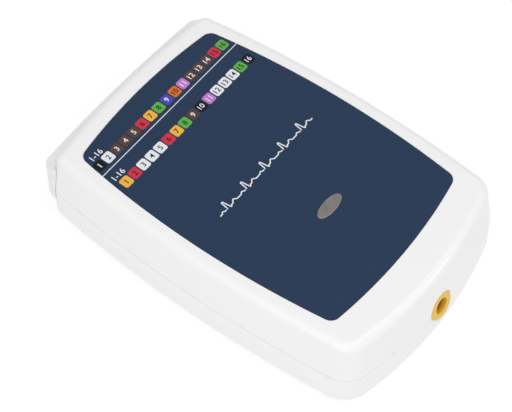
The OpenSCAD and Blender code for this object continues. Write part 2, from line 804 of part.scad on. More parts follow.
module jack_screws() {
    color("silver") for (x = lock_places) difference() {
        union() {
            rod_y(lock_thread_d, panel_y - flange_t - nut_t - weld, panel_y + lock_web + weld, x);
            translate([x, panel_y + lock_web, seam_z]) rotate([-90, 0, 0])
                cylinder(d = lock_d, h = nose_len - lock_web, $fn = 6);
        }
        rod_y(lock_thread_d, panel_y + nose_len - lock_hole_depth, panel_y + nose_len + over, x);
    }
}

module lock_nuts() {
    color("silver") for (x = lock_places) difference() {
        translate([x, panel_y - flange_t - nut_t, seam_z]) rotate([-90, 0, 0])
            cylinder(d = nut_d, h = nut_t, $fn = 6);
        rod_y(lock_thread_d + 2 * thread_fit, panel_y - flange_t - nut_t - over, panel_y, x);
    }
}

// ---- Round data socket ----
module socket_body() {
    r = socket_d / 2;
    collar_end = -collar_back - collar_t;
    neck_end = collar_end - socket_fit - cradle_t - weld;
    inner_r = insert_d / 2 + thread_fit;
    tail_r = (r + inner_r) / 2;
    color("#e6b84a") at_socket() rotate_extrude() polygon([
        [socket_bore_d / 2, 0], [r - chamfer, 0], [r, -chamfer], [r, -collar_back],
        [collar_d / 2, -collar_back], [collar_d / 2, collar_end], [r, collar_end],
        [r, neck_end], [tail_r, neck_end], [tail_r, -socket_len],
        [inner_r, -socket_len], [inner_r, -socket_depth], [socket_bore_d / 2, -socket_depth]
    ]);
}

// The places of the socket's contacts on their circle
socket_pins = [for (i = [0:pin_count - 1])
    let (a = 45 + 360 * i / pin_count) pin_circle_d / 2 * [cos(a), sin(a)]];

module socket_insert() {
    color("#3a2a18") at_socket() difference() {
        translate([0, 0, -socket_len]) cylinder(d = insert_d, h = socket_len - socket_depth);
        for (p = socket_pins) translate([p.x, p.y, -socket_len - over])
            cylinder(d = pin_d + 2 * contact_fit, h = socket_len + over);
    }
}

module socket_contacts() {
    color("gold") at_socket() for (p = socket_pins)
        translate([p.x, p.y, -socket_len - pin_tail])
            cylinder(d = pin_d, h = pin_tail + socket_len - socket_depth - pin_sink);
}

// One wire from a contact of the socket to its place in the plug: it runs along Y, and its
// height and side ease from one end to the other with a little slack
function wire_points(i) =
    let (
        p = socket_pins[i],
        back = socket_len + pin_tail,
        y0 = socket_y + p.y * sin(socket_tilt) + back * cos(socket_tilt) + wire_gap,
        z0 = socket_z + p.y * cos(socket_tilt) - back * sin(socket_tilt),
        y1 = plug_y1 - plug_len - wire_gap
    )
    [for (k = [0:wire_steps])
        let (t = k / wire_steps, ease = (1 - cos(180 * t)) / 2)
        [p.x + (plug_x[wire_order[i]] - p.x) * ease, y0 + (y1 - y0) * t,
            z0 + (plug_z + plug_h / 2 - z0) * ease + wire_slack * sin(180 * t)]];

module socket_leads() {
    section = [for (k = [0:wire_sides - 1])
        let (a = 360 * k / wire_sides) wire_d / 2 * [cos(a), 0, sin(a)]];
    color("firebrick") for (i = [0:pin_count - 1])
        skin([for (c = wire_points(i)) [for (p = section) c + p]]);
}

module lead_plug() {
    color("ivory") difference() {
        translate([0, plug_y1 - plug_len / 2, plug_z]) block([plug_w, plug_len, plug_h]);
        for (x = plug_x)
            translate([x - plug_hole / 2, plug_y1 - pin_reach - over, plug_z + plug_h / 2 - plug_hole / 2])
                cube([plug_hole, pin_reach + 2 * over, plug_hole]);
    }
}

module board_header() {
    inner_w = header_w - 2 * header_wall;
    inner_h = header_h - 2 * header_wall;
    color("ivory") difference() {
        translate([0, header_y, board_top_z]) block([header_w, header_len, header_h]);
        translate([-inner_w / 2, board_y0 - over, board_top_z + header_wall])
            cube([inner_w, header_len - header_back + over, inner_h]);
        for (x = plug_x) translate([x - plug_hole / 2, board_y0, plug_z + plug_h / 2 - plug_hole / 2])
            cube([plug_hole, header_len + over, plug_hole]);
    }
}

module header_pins() {
    y0 = plug_y1 - pin_reach;
    color("gold") for (x = plug_x) translate([x, 0, 0]) {
        translate([-header_pin_side / 2, y0, plug_z + plug_h / 2 - header_pin_side / 2])
            cube([header_pin_side, header_pin_y - y0 + header_pin_side / 2, header_pin_side]);
        translate([0, header_pin_y, board_z - tail_below])
            block([header_pin_side, header_pin_side, plug_z + plug_h / 2 - board_z + tail_below]);
    }
}

// ---- Fasteners, feet and rating plate ----
module case_screws() {
    color("silver") for (p = screw_places) translate([p.x, p.y, screw_seat_z - screw_head_h]) {
        cylinder(d = screw_head_d, h = screw_head_h);
        cylinder(d = screw_d, h = screw_head_h + screw_len);
    }
}

module screw_inserts() {
    color("goldenrod") for (p = screw_places) translate([p.x, p.y, seam_hi]) difference() {
        cylinder(d = insert_od, h = insert_len);
        translate([0, 0, -over]) cylinder(d = screw_d + 2 * thread_fit, h = insert_len + 2 * over);
    }
}

module rubber_feet() {
    r = foot_d / 2;
    h = foot_h + foot_seat;
    color("dimgray") for (p = foot_places) translate([p.x, p.y, 0])
        rotate_extrude() polygon([[0, 0], [r - chamfer, 0], [r, chamfer], [r, h], [0, h]]);
}

module rating_plate() {
    color("lightgray") translate([0, case_y, base_z - plate_t]) linear_extrude(plate_t)
        polygon(d_outline(plate_w, plate_len, sheet_corner_r));
}

// ---- Board and what stands on it ----
module board_hole(p, d) {
    translate([p.x, p.y, board_z - over]) cylinder(d = d, h = board_t + 2 * over);
}

module main_board() {
    color("darkgreen") difference() {
        translate([0, (board_y0 + board_y1) / 2, board_z]) linear_extrude(board_t)
            polygon(d_outline(board_w, board_y1 - board_y0, sheet_corner_r));
        for (p = board_holes) board_hole(p, board_screw_d + 2 * screw_fit);
        for (c = contacts) board_hole([c[0], tail_y(c[2])], board_pin_hole_d);
        for (x = plug_x) board_hole([x, header_pin_y], board_pin_hole_d);
    }
}

module board_screws() {
    color("silver") for (p = board_holes) translate([p.x, p.y, board_top_z]) {
        cylinder(d = board_head_d, h = board_head_h);
        translate([0, 0, -board_screw_len]) cylinder(d = board_screw_d, h = board_screw_len + board_head_h);
    }
}

// A flat chip with a row of legs along two of its sides, about its own middle on the board
module chip(w, len, h, legs, leg_reach) {
    pitch = len / (legs + 1);
    translate([0, 0, leg_side / 2]) block([w, len, h - leg_side / 2]);
    for (s = [-1, 1], i = [0:legs - 1])
        translate([s * (w + leg_reach - weld) / 2, (i - (legs - 1) / 2) * pitch, 0])
            block([leg_reach + weld, leg_side, leg_side]);
}

module protection_resistors() {
    color("black") for (i = [0:resistor_count - 1])
        translate([(i - (resistor_count - 1) / 2) * resistor_pitch, resistor_y, board_top_z])
            block([resistor_w, resistor_len, resistor_h]);
}

module amplifier_chips() {
    color("#202022") for (s = [-1, 1]) translate([s * can_w / 4, can_y, board_top_z])
        chip(amp_side, amp_side, amp_h, amp_legs, flat_leg_reach);
}

module shield_can() {
    color("silver") translate([0, can_y, board_top_z]) difference() {
        block([can_w, can_len, can_h]);
        translate([0, 0, -can_wall]) block([can_w - 2 * can_wall, can_len - 2 * can_wall, can_h]);
    }
}

module isolator_chips() {
    color("#202022") for (s = [-1, 1]) translate([s * can_w / 4, isolator_chip_y, board_top_z])
        chip(iso_w, iso_len, iso_h, iso_legs, wide_leg_reach);
}

module isolation_converter() {
    color("#2b2b2e") translate([-can_w / 2, converter_y, board_top_z])
        block([converter_w, converter_len, converter_h]);
}

module microcontroller() {
    color("#202022") translate([mcu_x, mcu_y, board_top_z]) for (turn = [0, 90])
        rotate([0, 0, turn]) chip(mcu_side, mcu_side, mcu_h, mcu_legs, flat_leg_reach);
}

module crystal() {
    color("silver") translate([mcu_x, crystal_y, board_top_z]) linear_extrude(crystal_h)
        polygon(d_outline(crystal_len, crystal_w, crystal_corner_r));
}

module capacitors() {
    color("#30343c") for (p = capacitor_places) translate([p.x, p.y, board_top_z]) {
        block([capacitor_base, capacitor_base, capacitor_base_h]);
        cylinder(d = capacitor_d, h = capacitor_h);
    }
}

top_shell();
bottom_shell();
label_overlay();
indicator_lens();
indicator_led();
connector_frame();
lead_connector_shell();
lead_connector_insulator();
lead_connector_contacts();
jack_screws();
lock_nuts();
socket_body();
socket_insert();
socket_contacts();
socket_leads();
lead_plug();
board_header();
header_pins();
case_screws();
screw_inserts();
rubber_feet();
rating_plate();
main_board();
board_screws();
protection_resistors();
amplifier_chips();
shield_can();
isolator_chips();
isolation_converter();
microcontroller();
crystal();
capacitors();
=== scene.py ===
"""Looks of a small box that links electrocardiograph leads to a computer. Sizes are in
millimetres and are turned to metres where a mesh is made; the axes are those of the frame."""

import math

import bmesh
import bpy
import numpy as np
from mathutils import Matrix, Vector


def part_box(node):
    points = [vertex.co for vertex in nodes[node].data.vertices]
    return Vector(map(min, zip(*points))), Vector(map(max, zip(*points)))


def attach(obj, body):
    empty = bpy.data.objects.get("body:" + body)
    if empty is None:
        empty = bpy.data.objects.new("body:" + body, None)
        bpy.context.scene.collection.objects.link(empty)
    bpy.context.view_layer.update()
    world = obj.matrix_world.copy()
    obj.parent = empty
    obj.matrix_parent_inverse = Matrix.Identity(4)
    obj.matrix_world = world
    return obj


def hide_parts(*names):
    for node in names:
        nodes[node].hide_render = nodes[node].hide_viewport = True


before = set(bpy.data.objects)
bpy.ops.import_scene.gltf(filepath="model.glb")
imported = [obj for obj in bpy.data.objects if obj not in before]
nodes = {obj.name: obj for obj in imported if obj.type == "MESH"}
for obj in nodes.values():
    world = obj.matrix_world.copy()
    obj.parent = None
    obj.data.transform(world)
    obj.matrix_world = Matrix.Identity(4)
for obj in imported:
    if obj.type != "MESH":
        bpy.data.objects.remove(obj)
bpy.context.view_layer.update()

# ---- Case shells ----
# The two halves of the box are moulded in white ABS and screwed together from below.
# Their sides bow outwards in plan, widen a little from the top down and end in rolled edges.

MM = 0.001


def linear(hex_colour):
    """An sRGB colour such as #F2F2F0, as linear red, green, blue and alpha."""
    parts = [int(hex_colour[i : i + 2], 16) / 255 for i in (1, 3, 5)]
    return tuple(
        c / 12.92 if c <= 0.04045 else ((c + 0.055) / 1.055) ** 2.4 for c in parts
    ) + (1.0,)


def add_node(tree, kind, inputs=None, **settings):
    """Adds a node; inputs maps its sockets to values, or to the sockets that feed them."""
    node = tree.nodes.new("ShaderNode" + kind)
    for name, value in settings.items():
        setattr(node, name, value)
    for name, value in (inputs or {}).items():
        if isinstance(value, bpy.types.NodeSocket):
            tree.links.new(value, node.inputs[name])
        else:
            node.inputs[name].default_value = value
    return node


def new_material(name, colour, roughness, metallic=0.0, ior=1.5):
    """A material with one Principled shader; its values sit on the shader's own sockets."""
    material = bpy.data.materials.new(name)
    material.use_nodes = True
    shader = material.node_tree.nodes["Principled BSDF"]
    for socket, value in (
        ("Base Color", linear(colour)),
        ("Roughness", roughness),
        ("Metallic", metallic),
        ("IOR", ior),
    ):
        shader.inputs[socket].default_value = value
    return material, material.node_tree, shader


def vary(tree, shader, size, colours=None, roughness=None, bump=None, detail=3.0):
    """Noise with spots of a size in millimetres that shifts colour, roughness and height."""
    place = add_node(tree, "TexCoord")
    noise = add_node(
        tree,
        "TexNoise",
        {"Vector": place.outputs["Object"], "Scale": 1 / (size * MM), "Detail": detail},
    )
    value = noise.outputs["Fac"]
    if colours:
        ramp = add_node(tree, "ValToRGB", {"Fac": value})
        for stop, at, colour in zip(ramp.color_ramp.elements, (0.35, 0.65), colours):
            stop.position, stop.color = at, linear(colour)
        tree.links.new(ramp.outputs["Color"], shader.inputs["Base Color"])
    if roughness:
        spread = add_node(
            tree,
            "MapRange",
            {"Value": value, "From Min": 0.3, "From Max": 0.7,
             "To Min": roughness[0], "To Max": roughness[1]},
        )
        tree.links.new(spread.outputs["Result"], shader.inputs["Roughness"])
    if bump:
        height = add_node(tree, "Bump", {"Height": value, "Strength": 1.0, "Distance": bump * MM})
        tree.links.new(height.outputs["Normal"], shader.inputs["Normal"])


def arc(cx, cy, r, start, end, steps):
    """Points x, y and their outward normals on an arc, its last point left out."""
    a = np.radians(start + (end - start) * np.arange(steps) / steps)
    return np.c_[cx + r * np.cos(a), cy + r * np.sin(a), np.cos(a), np.sin(a)]


def bowed_outline(half_w, half_l, side_bow, far_bow, near_bow, far_r, near_r, steps=24):
    """A rectangle with four bowed sides and rounded corners, as points with normals."""

    def bow_r(half_chord, bow):
        return (half_chord**2 + bow**2) / (2 * bow)

    def corner(c1, r1, c2, r2, side):
        d = np.linalg.norm(c2 - c1)
        t = (r1**2 - r2**2 + d**2) / (2 * d)
        along = (c2 - c1) / d
        return c1 + along * t + np.array([-along[1], along[0]]) * math.sqrt(r1**2 - t**2) * side

    def heading(start, end):
        return math.degrees(math.atan2(end[1] - start[1], end[0] - start[0]))

    side_r = bow_r(half_l - (far_bow + near_bow) / 2, side_bow)
    far_end_r, near_end_r = bow_r(half_w - side_bow, far_bow), bow_r(half_w - side_bow, near_bow)
    side_c = np.array([half_w - side_r, (near_bow - far_bow) / 2])
    far_c, near_c = np.array([0, half_l - far_end_r]), np.array([0, near_end_r - half_l])
    k1 = corner(side_c, side_r - far_r, far_c, far_end_r - far_r, 1)
    k2 = corner(side_c, side_r - near_r, near_c, near_end_r - near_r, -1)
    s1, s2 = heading(side_c, k1), heading(side_c, k2)
    e1, e2 = heading(far_c, k1), heading(near_c, k2)
    return np.vstack(
        [
            arc(side_c[0], side_c[1], side_r, s2, s1, steps),
            arc(k1[0], k1[1], far_r, s1, e1, steps),
            arc(0, far_c[1], far_end_r, e1, 180 - e1, steps),
            arc(-k1[0], k1[1], far_r, 180 - e1, 180 - s1, steps),
            arc(-side_c[0], side_c[1], side_r, 180 - s1, 180 - s2, steps),
            arc(-k2[0], k2[1], near_r, 180 - s2, 180 - e2, steps),
            arc(0, near_c[1], near_end_r, 180 - e2, 360 + e2, steps),
            arc(k2[0], k2[1], near_r, 360 + e2, 360 + s2, steps),
        ]
    )


def ring(outline, inset, z, y=0.0):
    """The outline moved inwards by inset, at a height, and shifted along Y."""
    flat = outline[:, :2] - inset * outline[:, 2:]
    return np.c_[flat[:, 0], flat[:, 1] + y, np.full(len(flat), z)]


def skin(rings, looped=False):
    """Points and faces of a closed skin over rings; a looped one joins its last to its first."""
    count, total = len(rings[0]), len(rings)
    faces = [
        (k * count + i, k * count + (i + 1) % count, (k + 1) % total * count + (i + 1) % count,
         (k + 1) % total * count + i)
        for k in range(total if looped else total - 1)
        for i in range(count)
    ]
    if not looped:
        faces += [tuple(range(count - 1, -1, -1)), tuple((total - 1) * count + i for i in range(count))]
    return np.vstack(rings), faces


def solid(name, shape, sharp=35):
    """An object from points in millimetres and faces, smooth but for edges above an angle."""
    points, faces = shape
    mesh = bpy.data.meshes.new(name)
    mesh.from_pydata([tuple(p) for p in np.asarray(points) * MM], [], faces)
    work = bmesh.new()
    work.from_mesh(mesh)
    bmesh.ops.recalc_face_normals(work, faces=work.faces)
    work.to_mesh(mesh)
    work.free()
    thing = bpy.data.objects.new(name, mesh)
    bpy.context.scene.collection.objects.link(thing)
    smooth(thing, sharp)
    return thing


def smooth(thing, sharp=35):
    """Shades a solid smooth but for edges above an angle."""
    thing.data.shade_smooth()
    thing.data.set_sharp_from_angle(angle=math.radians(sharp))


def combine(thing, operation, *tools):
    """Cuts, joins or intersects a solid with others, which are used up."""
    for tool in tools:
        step = thing.modifiers.new("step", "BOOLEAN")
        step.operation, step.object, step.solver = operation, tool, "EXACT"
        made = bpy.data.meshes.new_from_object(
            thing.evaluated_get(bpy.context.evaluated_depsgraph_get())
        )
        thing.modifiers.clear()
        thing.data = made
        bpy.data.objects.remove(tool)
    smooth(thing)


def even_shading(thing):
    """Keeps flat faces flat to the eye where they meet a small rounded edge."""
    weigh = thing.modifiers.new("even_shading", "WEIGHTED_NORMAL")
    weigh.keep_sharp = True
    return thing


def rod(x, y, r, z0, z1, steps=48):
    """Points and faces of a plain upright rod, for a boss or a cutting tool."""
    turn = np.radians(360 * np.arange(steps) / steps)
    return skin([np.c_[x + r * np.cos(turn), y + r * np.sin(turn), np.full(steps, z)] for z in (z0, z1)])


def box(x0, x1, y0, y1, z0, z1):
    """Points and faces of an upright box."""
    corners = [(x0, y0), (x1, y0), (x1, y1), (x0, y1)]
    return skin([np.array([(x, y, z) for x, y in corners], float) for z in (z0, z1)])


def own(thing, material, slot, *replaced):
    """Gives a finished piece its material and body, and hides the nodes it stands for; slot is not used."""
    thing.data.materials.clear()
    thing.data.materials.append(material)
    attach(thing, "root")
    if replaced:
        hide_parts(*replaced)


def middle(node, axis):
    """The middle of a node's box along an axis, in millimetres."""
    low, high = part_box(node)
    return (low[axis] + high[axis]) / 2 / MM


case_w, case_len, side_bow, cable_bow, socket_bow = 101.6, 148.4, 4.4, 3.3, 7.0
cable_r, socket_r = 7.3, 11.7
wall, lean, under_lean = 2.2, math.radians(10), math.radians(3)
base_z, seam_z, top_z = 1.2, 14.8, 32.8
top_edge_r, base_edge_r, inner_edge_r = 3.8, 1.4, 1.0
sheet_t, sheet_sink, sheet_gap = 0.25, 0.05, 0.15
parting_gap, parting_r = 0.3, 0.15
tongue_z, tongue_t, tongue_gap = seam_z + 1.2, 1.0, 0.1
case_y = middle("bottom_shell", 1)
label_y = case_y + 3.5
lens_y = label_y - 28
floor_z = base_z + wall
ceiling_z = top_z - sheet_sink - sheet_t - wall
case_outline = bowed_outline(
    case_w / 2, case_len / 2, side_bow, cable_bow, socket_bow, cable_r, socket_r
)
sheet_w, sheet_len, sheet_r = 83.5, 120, 4
sheet_side_bow, sheet_cable_bow, sheet_socket_bow = 4.15, 3.1, 3.3
sheet_outline = bowed_outline(
    sheet_w / 2, sheet_len / 2, sheet_side_bow, sheet_cable_bow, sheet_socket_bow, sheet_r, sheet_r
)


def lean_in(z):
    """How far the upper wall has drawn in at a height above the parting line."""
    return (z - seam_z) * math.tan(lean)


def lean_under(z):
    """How far the lower wall stands out at a height below the parting line."""
    return (seam_z - z) * math.tan(under_lean)


def rolled_top(r, face, behind, steps):
    """Inset and height round the edge between a flat top and the leaning wall."""
    z = face - r
    inset = lean_in(z + r * math.sin(lean)) + behind + r * math.cos(lean)
    return [(inset - r * math.cos(a), z + r * math.sin(a)) for a in np.linspace(math.pi / 2, lean, steps)]


def rolled_base(r, face, behind, steps):
    """Inset and height round the edge between a flat underside and the leaning wall."""
    z = face + r
    inset = behind + r * math.cos(under_lean) - lean_under(z + r * math.sin(under_lean))
    return [
        (inset - r * math.cos(a), z + r * math.sin(a)) for a in np.linspace(-math.pi / 2, under_lean, steps)
    ]


upper_wall, lower_wall = wall / math.cos(lean), wall / math.cos(under_lean)
tongue_in = lower_wall - tongue_t
seam_hi, seam_lo = seam_z + parting_gap / 2, seam_z - parting_gap / 2
# Halfway round a rounded edge, the edge is this share of its radius from both faces.
half_turn = 0.3
rim_r = 0.12

top_profile = (
    rolled_top(top_edge_r, top_z, 0, 14)
    + [(lean_in(seam_hi + parting_r), seam_hi + parting_r)]
    + [
        (lean_in(seam_hi) + parting_r * (1 - math.cos(a)), seam_hi + parting_r * (1 - math.sin(a)))
        for a in np.radians([25, 50, 75, 90])
    ]
    + [
        (tongue_in - tongue_gap, seam_hi),
        (tongue_in - tongue_gap, tongue_z),
        (lean_in(tongue_z) + upper_wall, tongue_z),
    ]
    + rolled_top(inner_edge_r, ceiling_z, upper_wall, 5)[::-1]
)
recess = [
    ring(sheet_outline, -sheet_gap, top_z - sheet_sink - sheet_t, label_y),
    ring(sheet_outline, -sheet_gap, top_z - rim_r, label_y),
    ring(sheet_outline, -sheet_gap - half_turn * rim_r, top_z - half_turn * rim_r, label_y),
    ring(sheet_outline, -sheet_gap - rim_r, top_z, label_y),
]
top_shell = solid("top_cover", skin(recess + [ring(case_outline, i, z, case_y) for i, z in top_profile]))

base_profile = (
    rolled_base(inner_edge_r, floor_z, lower_wall, 5)
    + [(lower_wall, seam_lo), (lower_wall, tongue_z), (tongue_in, tongue_z), (tongue_in, seam_lo)]
    + [
        (parting_r * (1 - math.cos(a)) - lean_under(seam_lo), seam_lo - parting_r * (1 - math.sin(a)))
        for a in np.radians([90, 75, 50, 25])
    ]
    + [(-lean_under(seam_lo - parting_r), seam_lo - parting_r)]
    + rolled_base(base_edge_r, base_z, 0, 10)[::-1]
)
bottom_shell = solid("bottom_cover", skin([ring(case_outline, i, z, case_y) for i, z in base_profile]))

screw_in_x, screw_in_y, foot_in_x, foot_in_y = 13, 18, 17, 30
screw_x, screw_y = case_w / 2 - screw_in_x, case_len / 2 - screw_in_y
screw_places = [(sx * screw_x, case_y + sy * screw_y) for sx in (-1, 1) for sy in (-1, 1)]
foot_x, foot_y = case_w / 2 - foot_in_x, case_len / 2 - foot_in_y
foot_places = [(sx * foot_x, case_y + sy * foot_y) for sx in (-1, 1) for sy in (-1, 1)]
insert_r, insert_len, screw_r, screw_head_r = 2.2, 5.0, 1.45, 2.75
well_depth, screw_len = 5.6, 12.0
screw_seat_z = base_z + well_depth
screw_tip_z, screw_hole_z = screw_seat_z + screw_len, seam_z + 4
thread_gap, screw_gap = 0.05, 0.2
neck_w, neck_h, neck_gap = 50.0, 15.8, 0.15

top_boss_r, base_boss_r, seat_boss_r, seat_boss_h = 3.6, 4.4, 3, 3.4
foot_seat_r, foot_seat_depth, pilot_r, pilot_low, pilot_high = 5.1, 0.5, 1.2, 0.2, 8
# A joined piece sinks into its neighbour by weld, and a cutting tool runs past a face by past.
weld, past = 0.4, 1

combine(top_shell, "UNION", *[
    solid("boss", rod(x, y, top_boss_r, seam_hi, ceiling_z + weld)) for x, y in screw_places
])
combine(top_shell, "DIFFERENCE", *[
    solid("hole", rod(x, y, r, seam_hi - past, z1))
    for x, y in screw_places
    for r, z1 in (
        (insert_r + thread_gap, seam_hi + insert_len),
        (screw_r + screw_gap, screw_tip_z + past),
    )
])
board_hole_x, hole_in_near, hole_in_far = 27.0, 7, 13
board_hole_ys = (
    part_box("main_board")[0][1] / MM + hole_in_near,
    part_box("main_board")[1][1] / MM - hole_in_far,
)
board_holes = [(sx * board_hole_x, y) for sx in (-1, 1) for y in board_hole_ys]
combine(bottom_shell, "UNION", *[
    solid("boss", rod(x, y, base_boss_r, floor_z - weld, seam_lo)) for x, y in screw_places
] + [
    solid("seat", rod(x, y, seat_boss_r, floor_z - weld, floor_z + seat_boss_h)) for x, y in board_holes
])
combine(bottom_shell, "DIFFERENCE", *[
    solid("hole", rod(x, y, r, base_z - past, z1))
    for x, y in screw_places
    for r, z1 in ((screw_head_r + screw_gap, screw_seat_z), (screw_r + screw_gap, screw_hole_z))
] + [
    solid("seat", rod(x, y, foot_seat_r, base_z - past, base_z + foot_seat_depth)) for x, y in foot_places
] + [
    solid("pilot", rod(x, y, pilot_r, floor_z + pilot_low, floor_z + pilot_high)) for x, y in board_holes
])

socket_r_out, socket_gap, socket_tilt = 5.9, 0.1, math.radians(13)
socket_proud, socket_drop, hole_back, hole_front = 0.4, 0.3, -14, 12
socket_y, socket_z = case_y - case_len / 2 - socket_proud, seam_z - socket_drop
socket_frame = Matrix.Translation(Vector((0, socket_y, socket_z)) * MM) @ Matrix.Rotation(
    math.pi / 2 - socket_tilt, 4, "X"
)


def at_socket(thing):
    """Turns a piece that was made upright at the origin into the round socket's place."""
    thing.data.transform(socket_frame)
    return thing


# A rib behind the socket's collar, trimmed to the half of the case that it stands in.
rib_half_w, rib_reach, rib_near, rib_far = 11, 32, -6.1, -7.7
limit_x, limit_y = 60, 90
neck_x, neck_z = neck_w / 2 + neck_gap, neck_h / 2 + neck_gap
neck_y, neck_hole_len = case_y + case_len / 2 - 20, 60
for shell, z0, z1 in ((top_shell, seam_hi, ceiling_z + weld), (bottom_shell, floor_z - weld, seam_lo)):
    rib = at_socket(solid("rib", box(-rib_half_w, rib_half_w, -rib_reach, rib_reach, rib_far, rib_near)))
    combine(rib, "INTERSECT", solid("limits", box(-limit_x, limit_x, -limit_y, 0, z0, z1)))
    combine(shell, "UNION", rib)
    combine(
        shell,
        "DIFFERENCE",
        at_socket(solid("hole", rod(0, 0, socket_r_out + socket_gap, hole_back, hole_front))),
        solid("neck", box(
            -neck_x, neck_x, neck_y, neck_y + neck_hole_len, seam_z - neck_z, seam_z + neck_z
        )),
    )


def oval(half_len, half_w, z, steps=96):
    """A ring of the light window's oval, at a height."""
    turn = np.radians(360 * np.arange(steps) / steps)
    return np.c_[half_len * np.cos(turn), lens_y + half_w * np.sin(turn), np.full(steps, z)]


lens_a, lens_b, lens_gap = 6.55, 2.65, 0.1


def lens_hole(z0, z1):
    """A cutting tool for the light window's hole between two heights."""
    return solid("hole", skin([oval(lens_a + lens_gap, lens_b + lens_gap, z) for z in (z0, z1)]))


combine(top_shell, "DIFFERENCE", lens_hole(ceiling_z - past, top_z + past))

# ABS, injection-moulded in a tool with a fine satin spark finish: an even white with a soft
# broad gloss. The real grain is 0.05 mm, too fine to show, so it is drawn at 0.4 mm.
abs_white, tree, shader = new_material("moulded_white_abs", "#F4F4F4", 0.3, ior=1.54)
vary(tree, shader, 0.4, roughness=(0.27, 0.34), bump=0.0015)
own(even_shading(top_shell), abs_white, "white_abs", "top_shell")
own(even_shading(bottom_shell), abs_white, "white_abs", "bottom_shell")

# ---- Overlay sheet ----
# A polyester sheet, die-cut and glued flush into its recess in the top cover. The navy ground
# is printed on its back, the inks are screen-printed on its face, and the face is velvety.

sheet_z = top_z - sheet_sink
sheet_edge = 0.05
sheet_sides = [
    (0, sheet_z - sheet_t), (0, sheet_z - sheet_edge),
    (half_turn * sheet_edge, sheet_z - half_turn * sheet_edge), (sheet_edge, sheet_z),
]
sheet = solid("overlay_sheet", skin([ring(sheet_outline, i, z, label_y) for i, z in sheet_sides]))
combine(sheet, "DIFFERENCE", lens_hole(sheet_z - past, sheet_z + past))
# Polyester film, printed on its back and embossed to a velvet face: a deep even colour under
# a weak wide sheen. The velvet's grain is drawn at 0.5 mm.
navy_print, tree, shader = new_material("printed_velvet_polyester", "#21354F", 0.42, ior=1.5)
shader.inputs["Specular IOR Level"].default_value = 0.15
vary(tree, shader, 0.5, colours=("#203451", "#233750"), roughness=(0.38, 0.46), bump=0.001)
own(even_shading(sheet), navy_print, "overlay_sheet", "label_overlay")

ink_t, ink_z, stroke_gain = 0.02, sheet_z, 0.012


def ink(name, colour):
    """Screen ink: an opaque even film, a little glossier than the sheet."""
    material, tree, shader = new_material("screen_ink_" + name, colour, 0.4)
    shader.inputs["Specular IOR Level"].default_value = 0.15
    vary(tree, shader, 0.5, roughness=(0.36, 0.44), bump=0.0006)
    return material


def patch(x, y, half_w, half_h, r, z, steps=6):
    """Points and faces of a thin rounded rectangle of ink at a place on the sheet."""
    turns = [
        (x + sx * (half_w - r), y + sy * (half_h - r), start)
        for sx, sy, start in ((1, 1, 0), (-1, 1, 90), (-1, -1, 180), (1, -1, 270))
    ]
    flat = np.vstack([arc(cx, cy, r, a, a + 90, steps + 1)[:, :2] for cx, cy, a in turns])
    return skin([np.c_[flat[:, 0], flat[:, 1] + label_y, np.full(len(flat), h)] for h in (z, z + ink_t)])


def number(text, x, y, height, width, z, t=ink_t):
    """Points and faces of a plain printed number about a place on the sheet."""
    curve = bpy.data.curves.new("number", "FONT")
    curve.body, curve.resolution_u = text, 3
    curve.extrude, curve.offset = t / 2, stroke_gain
    curve.align_x, curve.align_y = "CENTER", "CENTER"
    letters = bpy.data.objects.new("number", curve)
    bpy.context.scene.collection.objects.link(letters)
    mesh = bpy.data.meshes.new_from_object(letters.evaluated_get(bpy.context.evaluated_depsgraph_get()))
    points = np.array([v.co for v in mesh.vertices], float)
    low, high = points.min(0), points.max(0)
    grow = min(height / (high[1] - low[1]), width / (high[0] - low[0]))
    centre = (low + high) / 2
    flat = (points[:, :2] - centre[:2]) * grow + (x, y + label_y)
    up = np.where(points[:, 2] > centre[2], z + t, z)
    faces = [tuple(p.vertices) for p in mesh.polygons]
    bpy.data.objects.remove(letters)
    bpy.data.meshes.remove(mesh)
    return np.c_[flat, up], faces


def together(shapes):
    """Several points-and-faces shapes as one."""
    points, faces, start = [], [], 0
    for p, f in shapes:
        points.append(p)
        faces += [tuple(i + start for i in face) for face in f]
        start += len(p)
    return np.vstack(points), faces


# Two rows of numbered chips, each under its heading, a divider and a heartbeat line.
inks = {
    "black": "#0B0D12", "white": "#E6E9EE", "brown": "#573E37", "red": "#D0334A", "yellow": "#EDB544",
    "green": "#5FAE45", "blue": "#4747B4", "orange": "#D8702A", "violet": "#C27BCB",
}
row_inks = (
    "black white brown brown brown red yellow green blue orange violet brown brown brown red green".split(),
    "yellow red white white white red yellow green brown black violet white white white green black".split(),
)
light_inks = ("white", "yellow", "green", "orange", "red")
pitch, chip_w, chip_h, chip_r = 4.77, 4.2, 4.5, 0.9
digit_w, digit_h, heading_w, heading_h = 2.8, 2.3, 7.5, 2.5
row_places = ((-36.3, 48.8), (-35.75, 36.5))
heading_places = ((-33.4, 53.1), (-35.1, 40.9))
layers = {name: [] for name in inks}
for colours, (x0, y) in zip(row_inks, row_places):
    for i, colour in enumerate(colours):
        x = x0 + pitch * i
        layers[colour].append(patch(x, y, chip_w / 2, chip_h / 2, chip_r, ink_z))
        digits = "black" if colour in light_inks else "white"
        layers[digits].append(number(str(i + 1), x, y, digit_h, digit_w, ink_z + ink_t, ink_t / 2))

divider_y, divider_half_len, divider_half, divider_r = 44.8, 40.6, 0.17, 0.1
layers["white"].append(patch(0, divider_y, divider_half_len, divider_half, divider_r, ink_z))
for x, y in heading_places:
    layers["white"].append(number("1-16", x, y, heading_h, heading_w, ink_z))


